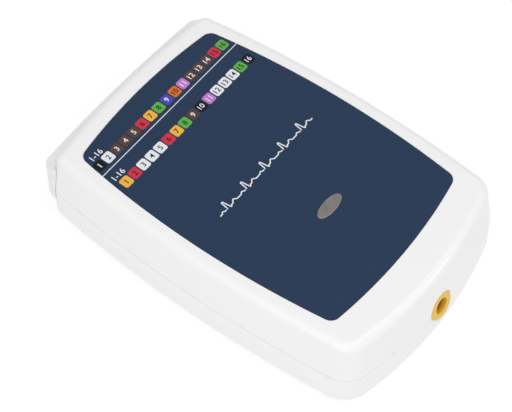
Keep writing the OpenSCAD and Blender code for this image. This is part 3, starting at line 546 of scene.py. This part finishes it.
def rounded(corners, r, steps=7):
    """Flat points along a line whose inner corners are rounded to a radius."""
    line = [np.array(corners[0], float)]
    for before, at, after in zip(corners, corners[1:], corners[2:]):
        u, v = (np.subtract(q, p) / math.dist(p, q) for p, q in ((before, at), (at, after)))
        side = math.copysign(1, u[0] * v[1] - u[1] * v[0])
        turn = math.acos(np.clip(u @ v, -1, 1))
        start = np.array(at) - u * r * math.tan(turn / 2)
        centre = start + side * r * np.array([-u[1], u[0]])
        for a in np.linspace(0, side * turn, steps):
            x, y = start - centre
            line.append(centre + (x * math.cos(a) - y * math.sin(a), x * math.sin(a) + y * math.cos(a)))
    return np.array(line + [np.array(corners[-1], float)])


def ribbon(line, half, z):
    """Points and faces of a line of ink of even width along flat points."""
    line = np.asarray(line, float)
    step = np.gradient(line, axis=0)
    across = np.c_[-step[:, 1], step[:, 0]] / np.linalg.norm(step, axis=1)[:, None] * half
    rings = []
    for (x, y), (ax, ay) in zip(line, across):
        y += label_y
        rings.append(np.array([
            (x + ax, y + ay, z), (x - ax, y - ay, z), (x - ax, y - ay, z + ink_t), (x + ax, y + ay, z + ink_t)
        ]))
    return skin(rings)


# One heartbeat as corners of a line: a low rounded wave, a steep spike, and a second wave.
beat, beats, trace_x0, trace_y = 11.0, 5, -27.0, 0.2
trace_half, trace_turn_r = 0.24, 0.3
turn = np.linspace(0, math.pi, 11)
beat_corners = (
    [(0.9 + 2.0 * a / math.pi, 0.55 * math.sin(a) ** 2) for a in turn]
    + [(3.7, 0), (4.05, -0.8), (4.95, 5.3), (5.85, -2.2), (6.25, 0)]
    + [(7.1 + 2.8 * a / math.pi, 1.0 * math.sin(a) ** 2) for a in turn]
)
corners = [(trace_x0, trace_y)] + [
    (trace_x0 + beat * i + x, trace_y + y) for i in range(beats) for x, y in beat_corners
] + [(trace_x0 + beat * beats, trace_y)]
layers["white"].append(ribbon(rounded(corners, trace_turn_r), trace_half, ink_z))
for name, colour in inks.items():
    own(solid("print_" + name, together(layers[name])), ink(name, colour), "overlay_sheet")

# ---- Indicator ----
# An oval window of translucent grey acrylic that stands a hair above the sheet, moulded with
# the light guide that stands over the lamp on the board.

lens_proud, lens_crown, lens_flange, flange_z, guide_r, guide_gap = 0.3, 0.15, 1.2, ceiling_z - 1, 2.2, 0.3
lens_top = top_z + lens_proud
guide_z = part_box("indicator_led")[1][2] / MM + guide_gap
dome = [
    (lens_a * s, lens_b * s, lens_top - lens_crown * s**4) for s in (0.06, 0.25, 0.45, 0.62, 0.76, 0.87, 0.94)
]
rim_points = [(0.08, 0.16), (0.02, 0.2), (0, 0.27)]
lens_profile = dome + [(lens_a - i, lens_b - i, lens_top - d) for i, d in rim_points] + [
    (lens_a, lens_b, ceiling_z), (lens_a + lens_flange, lens_b + lens_flange, ceiling_z),
    (lens_a + lens_flange, lens_b + lens_flange, flange_z), (guide_r, guide_r, flange_z),
    (guide_r, guide_r, guide_z),
]
lens = solid("indicator_window", skin([oval(a, b, z) for a, b, z in lens_profile]))
# Acrylic with a grey diffusing pigment: smooth and glossy, milky in depth.
grey_acrylic, tree, shader = new_material("diffusing_grey_acrylic", "#767270", 0.18, ior=1.49)
vary(tree, shader, 3.0, colours=("#726E6C", "#7A7674"), roughness=(0.14, 0.22))
own(even_shading(lens), grey_acrylic, "window_plastic", "indicator_lens")


def dress(material, *names):
    """Gives CAD nodes a material and leaves their shape as it is."""
    for name in names:
        nodes[name].data.materials.clear()
        nodes[name].data.materials.append(material)


# Lamp housing: glossy cream-white moulding, with a faint mottle.
lamp_cream, tree, shader = new_material("moulded_lamp_housing", "#E6E3D1", 0.3)
vary(tree, shader, 0.6, colours=("#E2DFCC", "#EAE7D6"), roughness=(0.25, 0.36))
dress(lamp_cream, "indicator_led")

# ---- Connector frame ----
# A separate ABS moulding that closes the cable end and holds the patient-cable connector.
# Its neck passes through the end wall, and its edges are rounded.

frame_w, frame_h, frame_rise, frame_depth = 92.5, 20.0, 0.6, 8.4
frame_face, frame_bow, frame_side_bow = case_len / 2 + 1.4, 1.6, 0.1
frame_corner_r, frame_back_r, frame_lower_r, frame_edge_r = 5.0, 1.2, 5.0, 0.8
frame_lean, frame_gap = math.radians(4), 0.1
face_y = case_y + frame_face
frame_lo, frame_hi = seam_z + frame_rise - frame_h / 2, seam_z + frame_rise + frame_h / 2
face_r = ((frame_w / 2) ** 2 + frame_bow**2) / (2 * frame_bow)


def rounding(depth, r):
    """How far a rounded edge draws in at a depth below the face that it ends in."""
    return r - math.sqrt(r * r - max(r - depth, 0) ** 2)


def frame_ring(z):
    """The frame's outline in plan at a height: leaning sides, rounded edges, a bowed face."""
    half = frame_w / 2 - (z - seam_z) * math.tan(frame_lean)
    half -= rounding(z - frame_lo, frame_lower_r) + rounding(frame_hi - z, frame_edge_r)
    edge = rounding(z - frame_lo, frame_edge_r) + rounding(frame_hi - z, frame_edge_r)
    depth, bow = frame_depth - edge, face_r - math.sqrt(face_r**2 - half**2)
    outline = bowed_outline(
        half + frame_side_bow, depth / 2, frame_side_bow, bow, frame_side_bow,
        frame_corner_r - edge, frame_back_r,
    )
    return ring(outline, 0, z, face_y - frame_depth + depth / 2)


low_turn = 1 - np.cos(np.radians(np.linspace(0, 90, 13)))
frame_levels = sorted({
    round(z, 4)
    for z in (*frame_lo + frame_lower_r * low_turn, *frame_lo + frame_edge_r * low_turn[::2],
              *frame_hi - frame_edge_r * low_turn[::2])
})
connector_frame = solid("connector_frame_moulding", skin([frame_ring(z) for z in frame_levels]))
combine(connector_frame, "DIFFERENCE", solid("case", skin([
    ring(case_outline, -lean_under(base_z) - frame_gap, base_z, case_y),
    ring(case_outline, -frame_gap, seam_z, case_y),
    ring(case_outline, lean_in(top_z) - frame_gap, top_z, case_y),
])))
neck_back_y = (Vector(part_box("connector_frame")[0]) / MM).y
neck_in, lip_proud, lip_t = 0.5, 1.5, 1.6
half_w, half_h = neck_w / 2, neck_h / 2
lip_w, lip_h = half_w + lip_proud, half_h + lip_proud
combine(
    connector_frame,
    "UNION",
    solid("neck", box(-half_w, half_w, neck_back_y, face_y - neck_in, seam_z - half_h, seam_z + half_h)),
    solid("lip", box(-lip_w, lip_w, neck_back_y, neck_back_y + lip_t, seam_z - lip_h, seam_z + lip_h)),
)


def d_outline(w, h, r, slant, steps=12):
    """A D-shaped outline, or a rounded rectangle at no slant, as points with normals."""
    x, z = w / 2 - r, h / 2 - r
    low_x = x - 2 * z * math.tan(math.radians(slant))
    return np.vstack([
        arc(x, z, r, -slant, 90, steps), arc(-x, z, r, 90, 180 + slant, steps),
        arc(-low_x, -z, r, 180 + slant, 270, steps), arc(low_x, -z, r, 270, 360 - slant, steps),
    ])


def along_y(rings):
    """Turns rings that were made upright so that their height runs along Y, at the parting line."""
    return [np.c_[r[:, 0], r[:, 2], r[:, 1] + seam_z] for r in rings]


def rod_y(x, z, r, y0, y1, steps=32):
    """Points and faces of a plain rod along Y."""
    turn = np.radians(360 * np.arange(steps) / steps)
    return skin([np.c_[x + r * np.cos(turn), np.full(steps, y), z + r * np.sin(turn)] for y in (y0, y1)])


nose_len, nose_proud, nose_wall, flange_t = 5.9, 1.5, 0.5, 0.8
panel_y = face_y - (nose_len - nose_proud)
nose_w, nose_h, nose_r, nose_slant, nose_gap = 25, 8.4, 2.4, 10, 1.2
nose_outline = d_outline(nose_w, nose_h, nose_r, nose_slant)
lock_spacing, lock_flats, nut_flats, corner_turn = 33.3, 4.8, 6.3, math.cos(math.radians(30))
lock_x, lock_web, lock_r, thread_r = lock_spacing / 2, 1.0, lock_flats / 2 / corner_turn, 1.42
lock_play, lock_pocket_gap, pocket_play = 0.2, 0.5, 0.6
pocket_w, pocket_h = lock_spacing + nut_flats / corner_turn + pocket_play, 13.1
half_w, half_h = pocket_w / 2, pocket_h / 2
combine(
    connector_frame,
    "DIFFERENCE",
    solid("pocket", box(-half_w, half_w, neck_back_y - past, panel_y, seam_z - half_h, seam_z + half_h)),
    solid("nose_hole", skin(along_y([
        ring(nose_outline, -nose_gap, y) for y in (panel_y - past, face_y + past)
    ]))),
    *[
        solid("lock_hole", rod_y(x, seam_z, r, y0, face_y + past))
        for x in (-lock_x, lock_x)
        for r, y0 in (
            (thread_r + lock_play, panel_y - past),
            (lock_r + lock_pocket_gap, panel_y + lock_web),
        )
    ],
)
# The same spark-finished ABS as the case that it closes, painted a little greyer as painted shade for the
# frame's shaded ends.
frame_abs_painted_shade, tree, shader = new_material("moulded_white_abs_painted_shade", "#ECECEC", 0.3, ior=1.54)
vary(tree, shader, 0.4, roughness=(0.27, 0.34), bump=0.0015)
own(even_shading(connector_frame), frame_abs_painted_shade, "white_abs", "connector_frame")

# ---- Patient-cable connector ----
# A high-density D-shaped socket connector, held behind the frame's panel by two hexagonal
# screw locks. Its shell is drawn from tinned steel, and its contacts are gold-plated.

lip, lip_mid, root_r, root_mid = 0.2, 0.07, 0.4, 0.12
flange_w, flange_h, flange_r, flange_edge = 39.1, 12.5, 1.0, 0.15
tip_y = panel_y + nose_len
flange_outline = d_outline(flange_w, flange_h, flange_r, 0)
shell_rings = [
    ring(nose_outline, nose_wall, panel_y - flange_t),
    ring(nose_outline, nose_wall, tip_y - lip),
    ring(nose_outline, nose_wall - lip_mid, tip_y - lip_mid),
    ring(nose_outline, lip, tip_y),
    ring(nose_outline, lip_mid, tip_y - lip_mid),
    ring(nose_outline, 0, tip_y - lip),
    ring(nose_outline, 0, panel_y + root_r),
    ring(nose_outline, -root_mid, panel_y + root_mid),
    ring(nose_outline, -root_r, panel_y),
    ring(flange_outline, flange_edge, panel_y),
    ring(flange_outline, 0, panel_y - flange_edge),
    ring(flange_outline, 0, panel_y - flange_t),
]
metal_shell = solid("connector_shell", skin(along_y(shell_rings), True))
combine(metal_shell, "DIFFERENCE", *[
    solid("lock_hole", rod_y(x, seam_z, thread_r + lock_play, panel_y - 2 * past, panel_y + past))
    for x in (-lock_x, lock_x)
])
# Steel sheet, deep-drawn and tin-plated: a soft grey metal with a faint drawn cloudiness.
tin, tree, shader = new_material("tin_plated_steel", "#CFCFCA", 0.3, metallic=1.0)
vary(tree, shader, 0.8, colours=("#C8C8C2", "#D6D6D2"), roughness=(0.24, 0.38), bump=0.002)
own(even_shading(metal_shell), tin, "tinned_steel", "lead_connector_shell")

# Glass-filled polyester insulator: near-black, matt, with faint pale specks of fibre.
black_pbt, tree, shader = new_material("glass_filled_polyester", "#1B1B1D", 0.5)
vary(tree, shader, 0.25, colours=("#17171A", "#242427"), roughness=(0.42, 0.58), bump=0.004)
dress(black_pbt, "lead_connector_insulator")

# Phosphor bronze, turned and gold-plated: a warm smooth metal with a light scatter of wear.
gold, tree, shader = new_material("gold_plated_bronze", "#E3B65A", 0.22, metallic=1.0)
vary(tree, shader, 0.5, colours=("#DDAE52", "#E9C06A"), roughness=(0.16, 0.3))
dress(gold, "socket_contacts", "header_pins", "lead_connector_contacts")


def lock_ring(x, y, limit=lock_r, steps=48):
    """The lock's hexagon across its axis, its corners turned down to a radius."""
    turn = np.radians(360 * np.arange(steps) / steps)
    flats = lock_r * corner_turn / np.cos(turn % math.radians(60) - math.radians(30))
    r = np.minimum(flats, limit)
    return np.c_[x + r * np.cos(turn), np.full(steps, y), seam_z + r * np.sin(turn)]


# Each lock is one skin: its threaded end, the hexagon with its turned chamfer, then the hole.
thread_end_y, hexagon_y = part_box("jack_screws")[0][1] / MM, panel_y + lock_web
chamfer_h, chamfer_w, mouth_h, thread_point = 0.32, 0.55, 0.25, 0.2
thread_pitch, thread_cut, thread_turns, hole_depth = 0.64, 0.32, 6, 4
locks = []
for x in (-lock_x, lock_x):
    rings = [
        lock_ring(x, thread_end_y, thread_r - thread_point),
        lock_ring(x, thread_end_y + thread_point, thread_r),
        lock_ring(x, hexagon_y, thread_r), lock_ring(x, hexagon_y),
    ]
    rings += [lock_ring(x, tip_y - chamfer_h * (1 - t), lock_r - chamfer_w * t) for t in np.linspace(0, 1, 6)]
    rings.append(lock_ring(x, tip_y, thread_r + mouth_h))
    for k in range(thread_turns):
        y = tip_y - mouth_h - k * thread_pitch
        rings += [lock_ring(x, y, thread_r), lock_ring(x, y - thread_cut, thread_r - thread_cut)]
    rings.append(lock_ring(x, tip_y - hole_depth, thread_r))
    locks.append(skin(rings))
screw_locks = solid("screw_locks", together(locks))
# Brass, turned and nickel-plated: a warm pale metal with a bright, slightly uneven gloss.
nickel, tree, shader = new_material("nickel_plated_brass", "#C9C7BF", 0.24, metallic=1.0)
vary(tree, shader, 0.6, colours=("#C2C0B8", "#D2D0C8"), roughness=(0.18, 0.32), bump=0.001)
own(even_shading(screw_locks), nickel, "nickel_brass", "jack_screws")
dress(nickel, "lock_nuts")

# ---- Round data socket ----
# The computer's lead plugs into this socket. Its body is moulded in amber-yellow plastic, held
# by its collar between the shells, with four contacts in a brown insulator in the bore.


def turned(profile, steps=64):
    """Points and faces of a solid turned about Z from a closed profile of radius and height."""
    turn = np.radians(360 * np.arange(steps) / steps)
    return skin([np.c_[r * np.cos(turn), r * np.sin(turn), np.full(steps, z)] for r, z in profile], True)


bore_r, socket_len, socket_depth, collar_r = 3.2, 12.0, 6.0, 7.6
barrel_r, seat_r, collar_front, collar_back, barrel_front = 4.8, 3.65, -4.4, -6.0, -8.1
rim, mouth = 0.7, 0.45
quarter = np.radians(np.linspace(0, 90, 7))
socket_profile = (
    [(bore_r, -socket_depth), (bore_r, -mouth)]
    + [(bore_r + mouth * (1 - math.cos(a)), -mouth * (1 - math.sin(a))) for a in quarter[1:]]
    + [(socket_r_out - rim * (1 - math.sin(a)), -rim * (1 - math.cos(a))) for a in quarter]
    + [
        (socket_r_out, collar_front), (collar_r, collar_front), (collar_r, collar_back),
        (socket_r_out, collar_back), (socket_r_out, barrel_front), (barrel_r, barrel_front),
        (barrel_r, -socket_len), (seat_r, -socket_len), (seat_r, -socket_depth),
    ]
)
socket = at_socket(solid("data_socket_body", turned(socket_profile, 96)))
# Polyester moulding compound in amber yellow: saturated and satin. The bore's wall has painted shade:
# its colour turns brown near a point 3.2 mm down the axis, so the mouth shows a lit crescent round a dark
# slit.
amber, tree, shader = new_material("moulded_amber_polyester", "#EABA3A", 0.34, ior=1.55)
vary(tree, shader, 0.5, colours=("#E7B636", "#EDBE3F"), roughness=(0.28, 0.4), bump=0.002)
# Painted shade in the bore: the base colour is mixed to brown by the distance from a point down the socket's
# axis.
place = add_node(tree, "TexCoord")
bore_shade_depth, shade_full_reach, shade_none_reach = -3.2, 3.2, 3.65
bore_shade_spot = tuple(socket_frame @ Vector((0, 0, bore_shade_depth * MM)))
reach = add_node(tree, "VectorMath", {0: place.outputs["Object"], 1: bore_shade_spot}, operation="DISTANCE")
unshaded_share = add_node(
    tree, "MapRange",
    {"Value": reach.outputs["Value"], "From Min": shade_full_reach * MM, "From Max": shade_none_reach * MM},
)
painted_bore_shade = add_node(
    tree, "Mix",
    {0: unshaded_share.outputs["Result"], 6: linear("#A06418"), 7: shader.inputs["Base Color"].links[0].from_socket},
    data_type="RGBA",
)
tree.links.new(painted_bore_shade.outputs[2], shader.inputs["Base Color"])
own(even_shading(socket), amber, "yellow_plastic", "socket_body")

# Phenolic insulator: dull brown with a fine filler grain.
phenolic, tree, shader = new_material("moulded_brown_phenolic", "#5A3A1E", 0.5)
vary(tree, shader, 0.4, colours=("#4A2F18", "#6B4624"), roughness=(0.42, 0.6), bump=0.01)
dress(phenolic, "socket_insert")

# Flexible PVC on the four wires: a soft satin red.
pvc_red, tree, shader = new_material("extruded_red_pvc", "#A82A22", 0.38)
vary(tree, shader, 1.2, colours=("#A0261F", "#B02F27"), roughness=(0.32, 0.45))
dress(pvc_red, "socket_leads")

# Nylon of the wires' plug and its header: cream, satin, slightly uneven.
nylon, tree, shader = new_material("moulded_cream_nylon", "#E8E2CC", 0.4)
vary(tree, shader, 1.0, colours=("#E4DDC6", "#EDE8D4"), roughness=(0.34, 0.48), bump=0.002)
dress(nylon, "lead_plug", "board_header")

# ---- Fasteners, feet and rating plate ----
# Four long machine screws close the case from below into brass inserts. Four rubber feet sit
# in shallow seats, and a blank plate of polyester film fills the place of the rating plate.

head_h, tip_edge, axis_r = 2.4, 0.5, 0.02
head_z = screw_seat_z - head_h
slot_half_len, slot_half_w, slot_depth, slot_turn = 1.6, 0.32, 1.3, 0.3
screws = []
for x, y in screw_places:
    crown = [
        (axis_r, head_z), (1.4, head_z), (2.2, head_z + 0.2), (screw_head_r - 0.1, head_z + 0.7),
        (screw_head_r, head_z + 1.1), (screw_head_r, screw_seat_z), (screw_r, screw_seat_z),
        (screw_r, screw_tip_z - tip_edge), (screw_r - tip_edge, screw_tip_z), (axis_r, screw_tip_z),
    ]
    screw = solid("case_screw", turned(crown, 48))
    for turn in (slot_turn, slot_turn + math.pi / 2):
        slot = solid("slot", box(
            -slot_half_len, slot_half_len, -slot_half_w, slot_half_w, head_z - past, head_z + slot_depth
        ))
        slot.data.transform(Matrix.Rotation(turn, 4, "Z"))
        combine(screw, "DIFFERENCE", slot)
    screw.data.transform(Matrix.Translation(Vector((x, y, 0)) * MM))
    screws.append(screw)
for other in screws[1:]:
    combine(screws[0], "UNION", other)
screws[0].name = "case_screw_set"
# Steel, cold-headed and zinc-plated: a bluish bright grey with a fine uneven gloss.
zinc, tree, shader = new_material("zinc_plated_steel", "#B8BCC0", 0.32, metallic=1.0)
vary(tree, shader, 0.5, colours=("#AEB2B8", "#C4C8CC"), roughness=(0.25, 0.4), bump=0.002)
own(even_shading(screws[0]), zinc, "zinc_steel", "case_screws")
dress(zinc, "board_screws")

# Brass inserts, turned: a warm yellow metal with a fine uneven gloss.
brass, tree, shader = new_material("turned_brass", "#C9A35A", 0.3, metallic=1.0)
vary(tree, shader, 0.4, colours=("#C29C52", "#D2AE68"), roughness=(0.24, 0.38), bump=0.004)
dress(brass, "screw_inserts")

foot_r, foot_edge_r, foot_top = 5.0, 0.5, base_z + foot_seat_depth
dish_h, dish_in, tread_in = 0.15, 2.2, 1.7
foot_shapes = []
for x, y in foot_places:
    points, faces = turned(
        [(axis_r, dish_h), (foot_r - dish_in, dish_h), (foot_r - tread_in, 0)]
        + [(foot_r - foot_edge_r * (1 - math.sin(a)), foot_edge_r * (1 - math.cos(a))) for a in quarter]
        + [(foot_r, foot_top), (axis_r, foot_top)],
        64,
    )
    foot_shapes.append((points + (x, y, 0), faces))
feet = solid("rubber_foot_set", together(foot_shapes))
# Natural rubber, compression-moulded: charcoal grey, matt, with a slight bloom.
rubber, tree, shader = new_material("moulded_grey_rubber", "#3B3B3D", 0.7)
vary(tree, shader, 0.8, colours=("#343436", "#444447"), roughness=(0.62, 0.8), bump=0.01)
own(even_shading(feet), rubber, "foot_rubber", "rubber_feet")

plate_w, plate_len, plate_r, plate_t, plate_edge = 50, 70, 2, 0.3, 0.06
plate_outline = d_outline(plate_w, plate_len, plate_r, 0)
plate_z = base_z - plate_t
plate = solid("rating_film", skin([
    ring(plate_outline, i, z, case_y)
    for i, z in ((0, base_z), (0, plate_z + plate_edge), (plate_edge, plate_z))
]))
# Polyester film with a silver-grey metallised back: even, satin, faintly mottled.
film, tree, shader = new_material("silver_polyester_film", "#C9CBCC", 0.35, metallic=0.4)
vary(tree, shader, 2.0, colours=("#C4C6C8", "#CED0D1"), roughness=(0.3, 0.42))
own(even_shading(plate), film, "plate_film", "rating_plate")

# ---- Main board ----
# An epoxy-glass board under green solder mask carries the amplifiers under a tinned can, the
# isolating parts and the processor. It stands on four seats and is screwed down.

# Solder mask over copper: deep green with a lighter tracery where tracks run beneath.
mask, tree, shader = new_material("solder_masked_laminate", "#12452C", 0.3)
place = add_node(tree, "TexCoord")
track_field, track_t = 8, 0.03
tracks = add_node(
    tree, "TexBrick",
    {"Vector": place.outputs["Object"], "Color1": linear("#12452C"), "Color2": linear("#1A5636"),
     "Mortar": linear("#2A7048"), "Scale": 1 / (track_field * MM), "Mortar Size": 0.03,
     "Brick Width": 0.9, "Row Height": 0.22},
)
tree.links.new(tracks.outputs["Color"], shader.inputs["Base Color"])
height = add_node(tree, "Bump", {"Height": tracks.outputs["Fac"], "Distance": track_t * MM})
tree.links.new(height.outputs["Normal"], shader.inputs["Normal"])
dress(mask, "main_board")

# Moulded epoxy of chips and resistors: charcoal, matt, fine-grained.
epoxy, tree, shader = new_material("moulded_chip_epoxy", "#242426", 0.5)
vary(tree, shader, 0.3, colours=("#1F1F21", "#2B2B2D"), roughness=(0.42, 0.6), bump=0.004)
dress(
    epoxy,
    "protection_resistors", "amplifier_chips", "isolator_chips", "isolation_converter", "microcontroller",
)
dress(tin, "shield_can", "crystal")

# Aluminium cans of the capacitors, drawn: bright, with a faintly clouded gloss.
aluminium, tree, shader = new_material("drawn_aluminium", "#C6C9CC", 0.3, metallic=1.0)
vary(tree, shader, 0.5, colours=("#BDC0C4", "#D0D3D6"), roughness=(0.22, 0.36))
dress(aluminium, "capacitors")

# ---- Studio ----
# A white paper sweep under three soft square lamps and an even glow from all round.
# The floor reads as pure white and keeps a faint shadow. Floor and lamps are in metres.

white = linear("#FFFFFF")


def seen_rays(tree):
    """1 for rays that show the surroundings: from the camera, in gloss and through glass."""
    path = add_node(tree, "LightPath")
    either = add_node(
        tree, "Math",
        {0: path.outputs["Is Camera Ray"], 1: path.outputs["Is Glossy Ray"]}, operation="MAXIMUM",
    )
    return add_node(
        tree, "Math", {0: either.outputs[0], 1: path.outputs["Is Transmission Ray"]}, operation="MAXIMUM"
    ).outputs[0]


world = bpy.data.worlds.new("studio")
bpy.context.scene.world = world
world.use_nodes = True
world.node_tree.nodes.clear()
glow = add_node(world.node_tree, "Background", {"Color": white, "Strength": 0.56})
shown = add_node(world.node_tree, "Background", {"Color": white, "Strength": 1.0})
either = add_node(
    world.node_tree, "MixShader",
    {0: seen_rays(world.node_tree), 1: glow.outputs[0], 2: shown.outputs[0]},
)
add_node(world.node_tree, "OutputWorld", {"Surface": either.outputs[0]})

floor_half = 4
floor_corners = [(x * floor_half, y * floor_half, 0) for x, y in ((-1, -1), (1, -1), (1, 1), (-1, 1))]
floor_mesh = bpy.data.meshes.new("floor")
floor_mesh.from_pydata(floor_corners, [], [(0, 1, 2, 3)])
studio_floor = bpy.data.objects.new("floor", floor_mesh)
bpy.context.scene.collection.objects.link(studio_floor)
paper = bpy.data.materials.new("white_paper_sweep")
paper.use_nodes = True
tree = paper.node_tree
tree.nodes.clear()
plain = add_node(tree, "BsdfDiffuse", {"Color": linear("#F0F0F0")})
faint = add_node(tree, "BsdfDiffuse", {"Color": linear("#969696")})
bright = add_node(tree, "Emission", {"Color": white, "Strength": 0.75})
lit = add_node(tree, "AddShader", {0: faint.outputs[0], 1: bright.outputs[0]})
mixed = add_node(tree, "MixShader", {0: seen_rays(tree), 1: plain.outputs[0], 2: lit.outputs[0]})
add_node(tree, "OutputMaterial", {"Surface": mixed.outputs[0]})
floor_mesh.materials.append(paper)

# Each lamp has its place, the side of its square and its power, and faces the middle of the box.
aim = Vector((0, 0, 0.015))
for name, place, size, power in (
    ("key", (-0.7, -0.2, 0.6), 1.0, 3.5),
    ("top", (0.3, -0.3, 1.2), 0.8, 3.0),
    ("edge", (0.57, -0.99, 0.63), 0.2, 1.35),
):
    data = bpy.data.lights.new(name, "AREA")
    data.shape, data.size, data.energy = "SQUARE", size, power
    lamp = bpy.data.objects.new(name, data)
    lamp.location = place
    lamp.rotation_euler = (aim - Vector(place)).to_track_quat("-Z", "Y").to_euler()
    bpy.context.scene.collection.objects.link(lamp)

# The camera stands above the near left side and looks down over the socket end.
azimuth, elevation, roll = (math.radians(a) for a in (-51.739, 56.355, -0.772))
distance, shift_x, shift_y = 524.372, 4.025, 14.083
sensor_w, focal_px, image_w = 36.0, 1445.088, 512
back = Vector((
    math.sin(azimuth) * math.cos(elevation),
    -math.cos(azimuth) * math.cos(elevation),
    math.sin(elevation),
))
right = Vector((math.cos(azimuth), math.sin(azimuth), 0))
up = back.cross(right)
across = right * math.cos(roll) + up * math.sin(roll)
upright = up * math.cos(roll) - right * math.sin(roll)
spot = back * distance - across * shift_x - upright * shift_y + Vector((0, label_y, top_z))
optics = bpy.data.cameras.new("camera")
optics.sensor_width, optics.lens = sensor_w, sensor_w * focal_px / image_w
optics.clip_start, optics.clip_end = 0.02, 50
camera = bpy.data.objects.new("camera", optics)
camera.matrix_world = Matrix.Translation(spot * MM) @ Matrix((across, upright, back)).transposed().to_4x4()
bpy.context.scene.collection.objects.link(camera)
bpy.context.scene.camera = camera
bpy.context.scene.view_settings.view_transform = "Standard"
